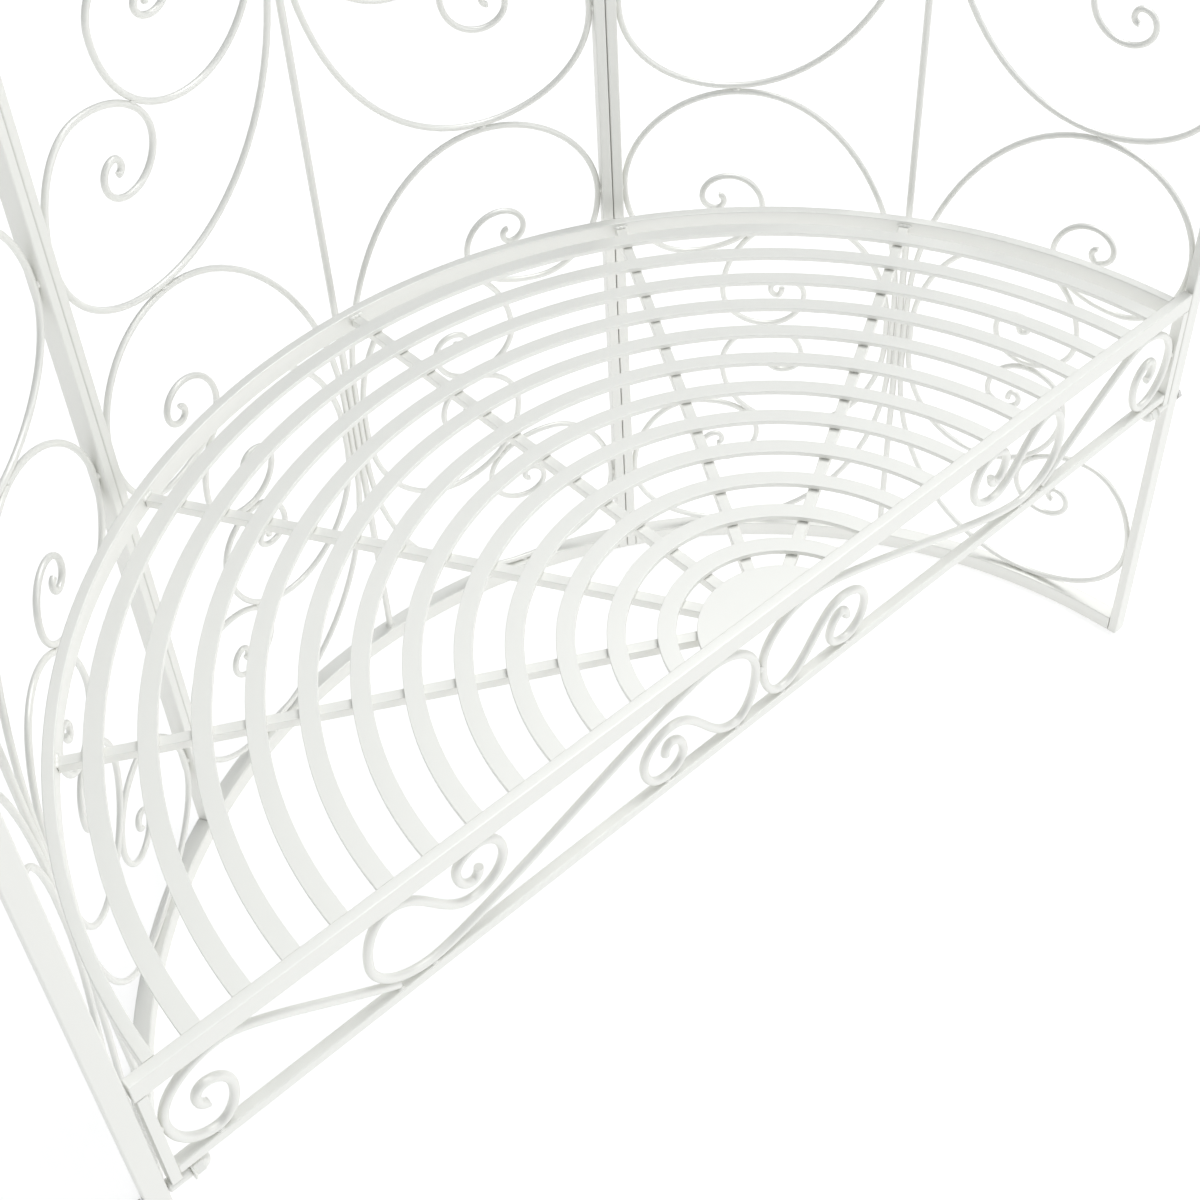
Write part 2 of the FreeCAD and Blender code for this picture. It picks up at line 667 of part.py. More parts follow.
def wall_nodes():
    """Every piece of the three wall panels, by name."""
    nodes = {}
    large, small = wall_scrolls()
    edges = {"right": ("front", "back"), "back": ("right", "left"), "left": ("back", "front")}
    for panel, (name, (start, end)) in enumerate(edges.items()):
        for joint, side, edge in ((panel, 1, start), (panel + 1, -1, end)):
            at_front = joint in (0, PANEL_COUNT)
            tube = side_tube(JOINTS[joint], side, [] if at_front else panel_bolt_levels())
            if at_front:
                hole = seat_bolt_hole()
                tube = tube.cut(hole if side > 0 else hole.mirror(AXIS, FreeCAD.Vector(1, 0, 0)))
            nodes[f"{name}_panel_{edge}_tube"] = tube
            nodes[f"{name}_panel_{edge}_large_scrolls"] = panel_scrolls(panel, -side, large)
            nodes[f"{name}_panel_{edge}_small_scrolls"] = panel_scrolls(panel, -side, small)
        nodes[f"{name}_panel_bottom_rail"] = panel_rail(panel, 0.0)
        nodes[f"{name}_panel_middle_rail"] = panel_rail(panel, MIDDLE_RAIL_BOTTOM, rod_hole=True)
        nodes[f"{name}_panel_top_rail"] = panel_rail(panel, TOP_RAIL_BOTTOM)
        nodes[f"{name}_panel_rod"] = panel_rod(panel)
    nodes["panel_bolts"], nodes["panel_nuts"] = panel_bolts()
    return nodes


def seat_nodes():
    """Every piece of the bench and its apron, by name."""
    nodes = {
        "seat_slats": slats(),
        "seat_rim": rim(),
        "seat_radial_bars": radial_bars(),
        "seat_hub_plate": hub_plate(),
        "seat_front_rail": front_rail(),
        "apron_lower_rail": apron_rail(),
        "apron_end_bars": apron_end_bars(),
    }
    nodes["apron_long_scrolls"], nodes["apron_end_scrolls"] = apron_scrolls()
    nodes["seat_bolts"], nodes["seat_nuts"] = seat_bolts()
    return nodes


def roof_nodes():
    """Every piece of the roof, by name."""
    names = ("front_right", "back_right", "back_left", "front_left")
    nodes = {f"roof_rib_{name}": roof_rib(angle) for name, (angle, _) in zip(names, rib_angles())}
    nodes["roof_rib_feet"] = rib_feet()
    nodes["roof_ring"] = roof_ring()
    nodes["roof_hub"] = roof_hub()
    nodes["roof_finial"] = finial()
    return nodes


os.makedirs("parts", exist_ok=True)
for node, shape in {**wall_nodes(), **seat_nodes(), **roof_nodes()}.items():
    shape.translate(FreeCAD.Vector(0, -FOOTPRINT_MIDDLE, 0))
    shape.exportStep(f"parts/{node}.step")
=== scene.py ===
"""Half-round garden gazebo with a bench: its finished pieces, paint and studio, in metres.

Every piece is modelled about the axis of the round wall, standing on the ground, and is then
moved to where the frame has that axis. Angles turn from the right end of the open front
towards the back.
"""
import json
import math

import bpy
from bpy.props import FloatProperty, FloatVectorProperty, IntProperty, PointerProperty
from mathutils import Matrix, Vector


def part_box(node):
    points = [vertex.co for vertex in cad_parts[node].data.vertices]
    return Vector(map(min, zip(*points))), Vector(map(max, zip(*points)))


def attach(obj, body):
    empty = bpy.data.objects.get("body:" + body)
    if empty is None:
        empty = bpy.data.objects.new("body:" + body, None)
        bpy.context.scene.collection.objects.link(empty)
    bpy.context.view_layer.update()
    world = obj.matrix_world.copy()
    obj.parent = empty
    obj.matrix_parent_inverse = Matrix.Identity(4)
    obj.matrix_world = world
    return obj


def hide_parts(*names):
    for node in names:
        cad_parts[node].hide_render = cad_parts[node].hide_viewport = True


bl_info = {
    "name": "Garden Gazebo",
    "version": (1, 0, 0),
    "blender": (4, 5, 0),
    "location": "View3D > Sidebar > Gazebo",
    "description": "Models a half-round garden gazebo of painted steel with a slatted bench",
    "category": "Add Mesh",
}

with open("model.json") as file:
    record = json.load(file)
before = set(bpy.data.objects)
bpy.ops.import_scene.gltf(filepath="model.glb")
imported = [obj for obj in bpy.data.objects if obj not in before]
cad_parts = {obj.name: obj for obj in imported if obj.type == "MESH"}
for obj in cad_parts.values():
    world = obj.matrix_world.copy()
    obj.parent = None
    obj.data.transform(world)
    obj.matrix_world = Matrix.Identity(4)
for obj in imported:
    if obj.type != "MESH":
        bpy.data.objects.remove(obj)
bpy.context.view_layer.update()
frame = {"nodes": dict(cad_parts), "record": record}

# Where the frame has the wall's axis, and the levels that its pieces give
AXIS_Y = sum(corner[1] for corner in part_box("roof_hub")) / 2
SEAT_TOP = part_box("seat_slats")[1][2]
SEAT_TUBE_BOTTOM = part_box("seat_rim")[0][2]
BOTTOM_RAIL_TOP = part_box("back_panel_bottom_rail")[1][2]
MIDDLE_RAIL_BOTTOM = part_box("back_panel_middle_rail")[0][2]
TOP_RAIL_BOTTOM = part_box("back_panel_top_rail")[0][2]
WALL_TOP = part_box("back_panel_top_rail")[1][2]
APRON_RAIL_BOTTOM, APRON_RAIL_TOP = (corner[2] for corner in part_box("apron_lower_rail"))

# The wall's rails are alike, and the bottom one lies on the ground
RAIL_HEIGHT = BOTTOM_RAIL_TOP

# Fits and smoothness
TOUCH = 0.0003  # gap left where two pieces meet
MERGE = 1e-6  # points closer than this become one
CLEAR_HALVINGS = 14  # halvings in the search for the place where two bars just clear
QUARTER = 0.5522847  # handle of a quarter ellipse, as a share of its half axis
CURVE_STEPS = 20  # steps along each stretch of a bent bar
BAR_ROUNDS = 6  # Blender's measure of how round a bent bar's section is
EDGE_STEPS = 3  # facets across a rounded edge
SMOOTH_ANGLE = math.radians(35)
LEVEL_FACE = 0.99  # a face with more than this upright share in its normal lies level

# Reach along the wall and rise of each quarter turn, from the outer turn to the tip of the curl
LARGE_TURNS = (
    (0.062, 0.083), (0.068, 0.046), (0.034, 0.037), (0.023, 0.020), (0.0135, 0.015),
    (0.007, 0.008), (0.005, 0.006),
)
SMALL_TURNS = (
    (0.045, 0.043), (0.035, 0.036), (0.019, 0.018), (0.014, 0.011), (0.007, 0.008),
    (0.004, 0.009),
)
APRON_CURL = (
    (0.0275, 0.026), (0.0215, 0.0272), (0.0185, 0.016), (0.0125, 0.0195), (0.006, 0.010),
)
END_CURL = ((0.018, 0.030), (0.017, 0.023), (0.008, 0.010), (0.007, 0.012))

# The wall's scrolls before their curls: half of the straight run beside the rod, then the large
# one's way to the rail as a share of the bay and its rise from there to the side tube, and the
# small one's reach to its lowest point and on to its side
LARGE_STRAIGHT, LARGE_APPROACH, LARGE_SIDE_RISE = 0.037, 0.605, 0.090
SMALL_STRAIGHT, SMALL_BOTTOM_REACH, SMALL_SIDE_REACH = 0.011, 0.088, 0.075
SWAY_PULL = 0.42  # handles of the apron's S bends, as a share of their reach

# Shares that shape small pieces
TUBE_BORE = 12  # depth of a side tube's bore, in thicknesses of its sheet
COLLAR_RADIUS, COLLAR_HEIGHT = 0.72, 0.35  # weld collar of a rod, in rod diameters
HEX_CHAMFER = 0.08  # chamfer of heads and nuts, in widths across their flats
SHANK_CHAMFER = 0.001
WASHER = 0.0016  # thickness of the washer under a cap nut
RING_EDGE = 0.15  # rounding of the roof ring's bars, in bar sides
HUB_LIP = 0.06  # lip of the roof's hub, in hub radii
FINIAL_FOOT = ((0, 0), (1.5, 0), (1.5, 0.2), (1, 0.5))  # radius and level, in neck radii
FINIAL_COLLAR = ((1.15, 0.25), (0.9, 0.6))
FINIAL_WAIST, FINIAL_TIP = 0.4, 0.17  # spike's radius half-way up and at its tip

# Weld beads
BEAD_SHAPE = (1.5, 0.9, 0.75)  # length, width and height, in bead sizes
BEAD_UNEVEN = 0.05  # lumps, in bead sizes
BEAD_SLANT = -0.6  # slope of the bead between a large and a small scroll
BEAD_DROP = 0.1  # how far the bench's beads lie under the slats, in bead sizes
WALL_BEAD_PROUD, APRON_BEAD_PROUD = 0.2, 0.25  # before the bars' middle, in bar diameters
APRON_BEAD_SHIFT = 0.1  # the middle bead's place beside the middle, in bar diameters
RIM_BEADS = (-0.9, -0.1, 0.7)  # places across a radial bar's end, in half bars

# Paint and studio
WHITE = (1.0, 1.0, 1.0)
FLOOR_RADIUS, FLOOR_BORDER = 30.0, 6.0
FLOOR_GLOW = 0.65
SKY_COLOUR, SKY_STRENGTH = (0.955, 0.985, 1.0), 0.46
LIGHTS = (  # name, place, diameter and power
    ("key_light", (3.8, 0.0, 9.0), 6.0, 515.0),
    ("front_light", (4.0, -8.4, 4.4), 5.2, 170.0),
)
LIGHTS_AIM = (0.0, 0.0, 0.4)
CAMERA_PLACE = (-0.67709, -0.602753, 1.459533)  # from the wall's axis
CAMERA_ANGLES = (44.347, 44.706, -0.158)  # yaw, downward pitch and roll in degrees
CAMERA_LENS, CAMERA_SHIFT = 55.717, (-0.0819, -0.0694)
VIEW_END = 200.0

# The panels from right to left, with the edges that each has at its start and its end
PANELS = (("right", ("front", "back")), ("back", ("right", "left")), ("left", ("back", "front")))
RIBS = ("front_right", "back_right", "back_left", "front_left")


def length(name, description, default):
    """Property for a size in metres."""
    return FloatProperty(
        name=name, description=description, default=default, min=0.0, precision=4,
        subtype="DISTANCE", unit="LENGTH",
    )


def colour(name, description, default):
    """Property for a paint or metal colour."""
    return FloatVectorProperty(
        name=name, description=description, default=default, size=3, min=0.0, max=1.0,
        subtype="COLOR",
    )


class GazeboWallSizes(bpy.types.PropertyGroup):
    """Sizes of the round wall and its scrollwork."""

    inner_radius: length("Inner radius", "Radius of the wall's inner face", 0.542)
    tube_depth: length("Tube depth", "Broad side of the wall's flat tube", 0.016)
    tube_width: length("Tube width", "Narrow side of the wall's flat tube", 0.0095)
    tube_wall: length("Tube wall", "Thickness of the tube's sheet", 0.0015)
    front_setback: length("Front setback", "From the wall's axis to the front tubes", 0.0195)
    panel_gap: length("Panel gap", "Gap between two panels that meet", 0.0006)
    rod: length("Rod", "Diameter of the rod up the middle of a panel", 0.0065)
    row_height: length("Row height", "Height of one row of scrolls", 0.543)
    scroll_bar: length("Scroll bar", "Diameter of the round bar of the scrolls", 0.0056)
    edge: length("Tube rounding", "Radius of the tube's rounded edges", 0.0014)


class GazeboSeatSizes(bpy.types.PropertyGroup):
    """Sizes of the bench seat."""

    slats: IntProperty(name="Slats", description="Number of half-round slats", default=12, min=2)
    inner_slat_radius: length("Inner slat", "Inner radius of the innermost slat", 0.079)
    slat_width: length("Slat width", "Width of a slat", 0.014)
    slat_thickness: length("Slat thickness", "Thickness of a slat", 0.004)
    tube_width: length("Rail width", "Width of the front rail and the rim", 0.009)
    rim_gap: length("Rim gap", "Gap between the rim and the outermost slat", 0.0185)
    rim_clearance: length("Rim clearance", "Gap between the rim and the wall", 0.016)
    radial_bar: length("Radial bar", "Side of the square bars under the slats", 0.009)
    radial_start: length("Radial start", "From the bars' meeting point to their ends", 0.045)
    radial_aim: length("Radial aim", "From the axis back to the bars' meeting point", 0.016)
    radial_gap: length("Radial gap", "Gap over the radial bars, which welds fill", 0.0012)
    end_gap: length("End gap", "Gap between the front rail's ends and the posts", 0.0012)
    hub_radius: length("Hub plate", "Radius of the part-round plate at the front", 0.064)
    edge: length("Rail rounding", "Radius of the rounded edges of the rails", 0.001)
    slat_edge: length("Slat rounding", "Radius of the rounded edges of the slats", 0.0004)


class GazeboApronSizes(bpy.types.PropertyGroup):
    """Sizes of the scrolled apron under the bench."""

    bar: length("Apron bar", "Diameter of the round bar of the apron's scrolls", 0.007)
    end_bar: length("End bar", "Depth of the upright bars at the apron's ends", 0.010)
    end_bar_gap: length("End bar gap", "Gap between an end bar and the post", 0.0025)
    bolt_drop: length("Bolt drop", "Distance of the bolts below the lower rail", 0.010)
    sleeve: length("Sleeve", "Diameter of the sleeve around a bolt below an end bar", 0.010)
    sleeve_reach: length("Sleeve reach", "Length of that sleeve past the end bar", 0.007)
    end_scroll_reach: length("End scroll", "Length of an end scroll along the apron", 0.1615)
    top_reach: length("Top reach", "Reach of the outer turn at the top of a loop", 0.048)
    loop_reach: length("Loop reach", "Reach of a long scroll's turn at the bottom", 0.022)
    end_loop_reach: length("End loop", "Reach of an end scroll's turn at the bottom", 0.030)
    sway: length("Sway", "Length of the bend from a loop into its curl", 0.0675)
    curl_top: length("Curl top", "Height of a long scroll's curl over the lower rail", 0.057)


class GazeboRoofSizes(bpy.types.PropertyGroup):
    """Sizes of the bent ribs, the hub and the finial."""

    rib_width: length("Rib width", "Width of a rib", 0.012)
    rib_depth: length("Rib depth", "Depth of a rib", 0.016)
    foot_thickness: length("Foot", "Thickness of the plates under the ribs", 0.005)
    hub_radius: length("Hub radius", "Radius of the boss that the ribs meet", 0.034)
    hub_height: length("Hub height", "Height of that boss", 0.044)
    ring_bar: length("Ring bar", "Side of the bars that tie the ribs together", 0.008)
    ring_angle: FloatProperty(
        name="Ring angle", description="Angle up the roof at which the ring lies",
        default=math.radians(42), subtype="ANGLE", unit="ROTATION",
    )
    finial_neck: length("Finial neck", "Radius of the finial's neck", 0.009)
    finial_ball: length("Finial ball", "Radius of the finial's ball", 0.030)
    finial_spike: length("Finial spike", "Height of the finial's spike", 0.062)


class GazeboFastenerSizes(bpy.types.PropertyGroup):
    """Sizes of the bolts, the nuts and the weld beads."""

    bolt: length("Bolt", "Diameter of the bolts", 0.006)
    head: length("Head", "Width across the flats of heads and nuts", 0.010)
    head_height: length("Head height", "Height of a bolt head", 0.004)
    nut_height: length("Nut height", "Height of a nut", 0.005)
    cap: length("Cap nut", "Width across the flats of the bench's cap nuts", 0.013)
    cap_height: length("Cap height", "Height of the bench's cap nuts", 0.015)
    panel_bolt_inset: length("Bolt inset", "From the open bay's ends to the bolts", 0.070)
    bead: length("Weld bead", "Size of a weld bead", 0.0048)


class GazeboFinish(bpy.types.PropertyGroup):
    """Colours of the paint, the metal and the studio."""

    paint: colour("Paint", "Colour of the off-white paint", (0.86, 0.862, 0.835))
    paint_thin: colour("Thin paint", "Colour where the paint lies thin", (0.80, 0.803, 0.775))
    grime: colour("Grime", "Colour of the dust held by the paint", (0.60, 0.60, 0.565))
    zinc: colour("Zinc", "Colour of the plated bolts", (0.62, 0.62, 0.61))
    floor: colour("Floor", "Colour of the studio floor", (0.50, 0.50, 0.50))


class Layout:
    """Places worked out from the sizes."""

    def __init__(self, scene):
        wall, seat, apron = scene.gazebo_wall, scene.gazebo_seat, scene.gazebo_apron
        self.wall_radius = wall.inner_radius + wall.tube_depth / 2
        self.wall_outer = wall.inner_radius + wall.tube_depth
        self.front_angle = math.asin(wall.front_setback / wall.inner_radius)
        self.panel_angle = (math.pi - 2 * self.front_angle) / len(PANELS)
        self.joints = [self.front_angle + self.panel_angle * i for i in range(len(PANELS) + 1)]
        self.tube_far = wall.panel_gap / 2 + wall.tube_width
        self.half_bay = self.wall_radius * self.panel_angle / 2 - self.tube_far
        self.rows = round((MIDDLE_RAIL_BOTTOM - BOTTOM_RAIL_TOP) / wall.row_height)
        self.apron_y = wall.front_setback + wall.tube_width / 2
        self.rail_back = self.apron_y + seat.tube_width / 2
        self.rail_front = self.rail_back - seat.tube_width
        self.slat_bottom = SEAT_TOP - seat.slat_thickness
        self.rim_outer = wall.inner_radius - seat.rim_clearance
        self.rim_inner = self.rim_outer - seat.tube_width
        largest = self.rim_inner - seat.rim_gap
        pitch = (largest - seat.slat_width - seat.inner_slat_radius) / (seat.slats - 1)
        self.slat_outers = [largest - i * pitch for i in range(seat.slats)]
        self.seat_half = (
            wall.inner_radius * math.cos(self.front_angle)
            - self.tube_far * math.sin(self.front_angle) - TOUCH
        )
        self.apron_half = self.seat_half - apron.end_bar
        self.apron_gap = SEAT_TUBE_BOTTOM - APRON_RAIL_TOP
        self.apron_low = TOUCH + apron.bar / 2
        self.apron_high = self.apron_gap - self.apron_low
        self.bolt_z = APRON_RAIL_BOTTOM - apron.bolt_drop

    def rod_angle(self, panel):
        """Angle of the rod in a panel."""
        return self.joints[panel] + self.panel_angle / 2

    def rib_angles(self, wall):
        """Angle of each rib and the half width of its foot."""
        single = (wall.panel_gap + wall.tube_width) / 2 / self.wall_radius
        inner = [(joint, self.tube_far) for joint in self.joints[1:-1]]
        first, last = self.joints[0] + single, self.joints[-1] - single
        return [(first, wall.tube_width / 2), *inner, (last, wall.tube_width / 2)]

    def radial_runs(self, seat):
        """Meeting point of the radial bars, with the length and the angle of each of them."""
        aim = Vector((0, seat.radial_aim, 0))
        reach = self.rim_inner - TOUCH
        for bar in range(1, 2 * len(PANELS)):
            rim_angle = self.front_angle + self.panel_angle / 2 * bar
            run = Vector((reach * math.cos(rim_angle), reach * math.sin(rim_angle), 0)) - aim
            yield aim, run.length, math.atan2(run.y, run.x)


def deselect():
    """Leave edit mode and select nothing."""
    if bpy.context.object and bpy.context.object.mode != "OBJECT":
        bpy.ops.object.mode_set(mode="OBJECT")
    bpy.ops.object.select_all(action="DESELECT")


def activate(piece):
    """Make a piece the only selected one."""
    deselect()
    piece.select_set(True)
    bpy.context.view_layer.objects.active = piece


def edit_all(piece):
    """Open a piece in edit mode with everything selected."""
    activate(piece)
    bpy.ops.object.mode_set(mode="EDIT")
    bpy.ops.mesh.select_mode(type="VERT")
    bpy.ops.mesh.select_all(action="SELECT")


def edit_level_faces(piece, *ways):
    """Open a piece in edit mode with only its faces selected that look up (1) or down (-1)."""
    edit_all(piece)
    bpy.ops.mesh.select_all(action="DESELECT")
    bpy.ops.mesh.select_mode(type="FACE")
    bpy.ops.object.mode_set(mode="OBJECT")
    for face in piece.data.polygons:
        face.select = any(face.normal.z * way > LEVEL_FACE for way in ways)
    bpy.ops.object.mode_set(mode="EDIT")


def extrude(step):
    """In edit mode, draw what is selected out by a step."""
    bpy.ops.mesh.extrude_region_move(TRANSFORM_OT_translate={"value": step})


def cut_front(piece, front):
    """Cut away what stands before a plane across the front, and close the cut."""
    edit_all(piece)
    bpy.ops.mesh.bisect(
        plane_co=(0, front, 0), plane_no=(0, -1, 0), use_fill=True, clear_outer=True
    )


def apply_place(piece):
    """Put a piece's own place, turn and scale into its mesh."""
    activate(piece)
    bpy.ops.object.transform_apply(location=True, rotation=True, scale=True)


def put(piece, place):
    """Move a piece by a matrix and keep it there."""
    piece.matrix_world = place
    apply_place(piece)
    return piece


def move(piece, place=(0, 0, 0), turn=(0, 0, 0)):
    """Turn a piece, move it to a place and keep it there."""
    piece.rotation_euler = turn
    piece.location = place
    apply_place(piece)
    return piece


def mend(piece):
    """Merge doubled points, turn every face outwards and leave edit mode."""
    edit_all(piece)
    bpy.ops.mesh.remove_doubles(threshold=MERGE)
    bpy.ops.mesh.normals_make_consistent(inside=False)
    bpy.ops.object.mode_set(mode="OBJECT")


def rounded_box(low, high, edge):
    """Bar between two corners with rounded edges."""
    deselect()
    middle = [(a + b) / 2 for a, b in zip(low, high)]
    bpy.ops.mesh.primitive_cube_add(size=1.0, location=middle)
    bar = bpy.context.object
    bar.scale = [b - a for a, b in zip(low, high)]
    apply_place(bar)
    edit_all(bar)
    bpy.ops.mesh.bevel(offset=edge, segments=EDGE_STEPS, profile=0.5, affect="EDGES")
    bpy.ops.object.mode_set(mode="OBJECT")
    return bar


def upright_tube(low, high, edge, sheet):
    """Upright tube with rounded edges, bored from both of its open ends."""
    tube = rounded_box(low, high, edge)
    for way in (-1, 1):
        edit_level_faces(tube, way)
        bpy.ops.mesh.inset(thickness=sheet, depth=0.0)
        extrude((0, 0, -way * TUBE_BORE * sheet))
    mend(tube)
    return tube


def spun_bar(corners, edge, start, end, steps, front=None):
    """Bar of rectangular section with rounded edges, spun about the wall's axis between two angles.

    corners are the inner radius, outer radius, bottom and top. front cuts it straight across.
    """
    inner, outer, bottom, top = corners
    deselect()
    middle = ((inner + outer) / 2, 0, (bottom + top) / 2)
    bpy.ops.mesh.primitive_plane_add(size=1.0, location=middle, rotation=(math.pi / 2, 0, 0))
    bar = bpy.context.object
    bar.scale = (outer - inner, top - bottom, 1)
    apply_place(bar)
    move(bar, turn=(0, 0, start))
    edit_all(bar)
    bpy.ops.mesh.bevel(offset=edge, segments=EDGE_STEPS, affect="VERTICES")
    bpy.ops.mesh.select_all(action="SELECT")
    bpy.ops.mesh.spin(steps=steps, angle=end - start, center=(0, 0, 0), axis=(0, 0, -1))
    if front is not None:
        cut_front(bar, front)
    mend(bar)
    return bar


def turned_piece(profile, steps):
    """Piece turned about the wall's axis.

    profile has (radius, level) points and starts and ends on the axis.
    """
    deselect()
    radius, level = profile[0]
    bpy.ops.mesh.primitive_circle_add(vertices=3, radius=profile[1][0], location=(0, 0, level))
    piece = bpy.context.object
    apply_place(piece)
    edit_all(piece)
    bpy.ops.mesh.delete(type="EDGE_FACE")
    bpy.ops.mesh.select_all(action="SELECT")
    bpy.ops.mesh.merge(type="CENTER")
    for next_radius, next_level in profile[1:]:
        extrude((next_radius - radius, 0, next_level - level))
        radius, level = next_radius, next_level
    bpy.ops.mesh.select_all(action="SELECT")
    bpy.ops.mesh.spin(steps=steps, angle=2 * math.pi, center=(0, 0, 0), axis=(0, 0, 1))
    mend(piece)
    return piece


def hexagon_piece(across, height):
    """Hexagon standing on the origin with its edges chamfered at the top."""
    deselect()
    bpy.ops.mesh.primitive_cylinder_add(
        vertices=6, radius=across / math.sqrt(3), depth=height, location=(0, 0, height / 2)
    )
    piece = bpy.context.object
    apply_place(piece)
    edit_level_faces(piece, 1)
    bpy.ops.mesh.bevel(offset=across * HEX_CHAMFER, segments=2, affect="EDGES")
    bpy.ops.object.mode_set(mode="OBJECT")
    return piece


def round_bar(path, diameter):
    """Round bar bent along a path in the plane of X and Z, with square-cut ends."""
    deselect()
    bpy.ops.curve.primitive_bezier_curve_add()
    bar = bpy.context.object
    bar.location = (0, 0, 0)
    line = bar.data.splines[0]
    line.bezier_points.add(len(path) - len(line.bezier_points))
    for point, spots in zip(line.bezier_points, path):
        point.handle_left_type = point.handle_right_type = "FREE"
        place, before, after = [(u, 0, v) for u, v in spots]
        point.co, point.handle_left, point.handle_right = place, before, after
    bar.data.dimensions = "3D"
    bar.data.resolution_u = CURVE_STEPS
    bar.data.bevel_depth = diameter / 2
    bar.data.bevel_resolution = BAR_ROUNDS
    bar.data.use_fill_caps = True
    bpy.ops.object.convert(target="MESH")
    bar = bpy.context.object
    mend(bar)
    return bar


def start_path(u, v):
    """Path with one point. A point holds its place and its handles' ends before and after."""
    return [[(u, v), (u, v), (u, v)]]


def add_point(path, place, leave, arrive):
    """Append a point, with the handle that leaves the last point and the one that arrives."""
    path[-1][2] = leave
    path.append([place, arrive, place])


def add_quarter(path, reach, rise, level_start):
    """Append a quarter of an ellipse that starts level or upright at the path's last point."""
    u, v = path[-1][0]
    end = (u + reach, v + rise)
    if level_start:
        add_point(path, end, (u + QUARTER * reach, v), (end[0], end[1] - QUARTER * rise))
    else:
        add_point(path, end, (u, v + QUARTER * rise), (end[0] - QUARTER * reach, end[1]))


def add_curl(path, turns, out, up, level_start):
    """Append quarter turns that wind inwards. out and up give the first turn's directions."""
    for reach, rise in turns:
        add_quarter(path, out * reach, up * rise, level_start)
        if level_start:
            out = -out
        else:
            up = -up
        level_start = not level_start


def add_sway(path, reach, rise):
    """Append an S bend that starts and ends level."""
    u, v = path[-1][0]
    pull = SWAY_PULL * reach
    add_point(path, (u + reach, v + rise), (u + pull, v), (u + reach - pull, v + rise))


def flipped(path, move):
    """A path run the other way, with every place put through a function."""
    return [[move(place), move(after), move(before)] for place, before, after in reversed(path)]


def path_points(path):
    """Points along a path, for measuring."""
    points = []
    for (a, _, b), (d, c, _) in zip(path, path[1:]):
        for i in range(CURVE_STEPS):
            t = i / CURVE_STEPS
            shares = ((1 - t) ** 3, 3 * t * (1 - t) ** 2, 3 * t * t * (1 - t), t ** 3)
            ends = tuple(zip(shares, (a, b, c, d)))
            points.append(tuple(sum(share * spot[k] for share, spot in ends) for k in (0, 1)))
    return points + [path[-1][0]]


def nearest(path, other):
    """Least distance between two paths, and the point midway there."""
    best = (math.inf, None)
    ahead = path_points(other)
    for u, v in path_points(path):
        for s, t in ahead:
            gap = math.hypot(u - s, v - t)
            if gap < best[0]:
                best = (gap, ((u + s) / 2, (v + t) / 2))
    return best


def lowest_clear(make_path, neighbour, low, high, distance):
    """Value between low and high at which a bar's path just clears its neighbour."""
    for _ in range(CLEAR_HALVINGS):
        middle = (low + high) / 2
        if nearest(make_path(middle), neighbour)[0] < distance:
            low = middle
        else:
            high = middle
    return high


def large_scroll_half(wall, layout):
    """Lower half of a large scroll, from the rod to the curl, with the row's floor at zero."""
    start = wall.rod / 2 + TOUCH + wall.scroll_bar / 2
    side = layout.half_bay - TOUCH - wall.scroll_bar / 2
    floor = TOUCH + wall.scroll_bar / 2
    path = start_path(start, wall.row_height / 2 - LARGE_STRAIGHT)
    add_quarter(path, LARGE_APPROACH * (side - start), floor - path[0][0][1], False)
    add_quarter(path, side - path[-1][0][0], LARGE_SIDE_RISE, True)
    add_curl(path, LARGE_TURNS, -1, 1, False)
    return path


def small_scroll_half(wall, bottom):
    """Lower half of a small scroll whose lowest point lies at the level bottom."""
    middle = wall.row_height / 2
    start = wall.rod / 2 + 2 * TOUCH + 1.5 * wall.scroll_bar
    top = middle - TOUCH / 2 - wall.scroll_bar / 2
    path = start_path(start, middle - SMALL_STRAIGHT)
    add_quarter(path, SMALL_BOTTOM_REACH, bottom - path[0][0][1], False)
    add_quarter(path, SMALL_SIDE_REACH, top - SMALL_TURNS[0][1] - bottom, True)
    add_curl(path, SMALL_TURNS, -1, 1, False)
    return path


def wall_scroll_halves(wall, layout):
    """Lower halves of the large and the small scroll of one row."""
    large = large_scroll_half(wall, layout)
    ceiling = wall.row_height / 2 - SMALL_TURNS[0][1] - wall.scroll_bar
    bottom = lowest_clear(
        lambda level: small_scroll_half(wall, level), large, wall.scroll_bar / 2, ceiling,
        wall.scroll_bar + TOUCH,
    )
    return large, small_scroll_half(wall, bottom)


def double_scroll(half, row_height):
    """Full path of a double-ended scroll from its lower half, with a straight run between."""
    upper = flipped(half, lambda spot: (spot[0], row_height - spot[1]))
    lower = [list(point) for point in half]
    (u0, v0), (u1, v1) = upper[-1][0], lower[0][0]
    upper[-1][2] = ((2 * u0 + u1) / 3, (2 * v0 + v1) / 3)
    lower[0][1] = ((u0 + 2 * u1) / 3, (v0 + 2 * v1) / 3)
    return upper + lower


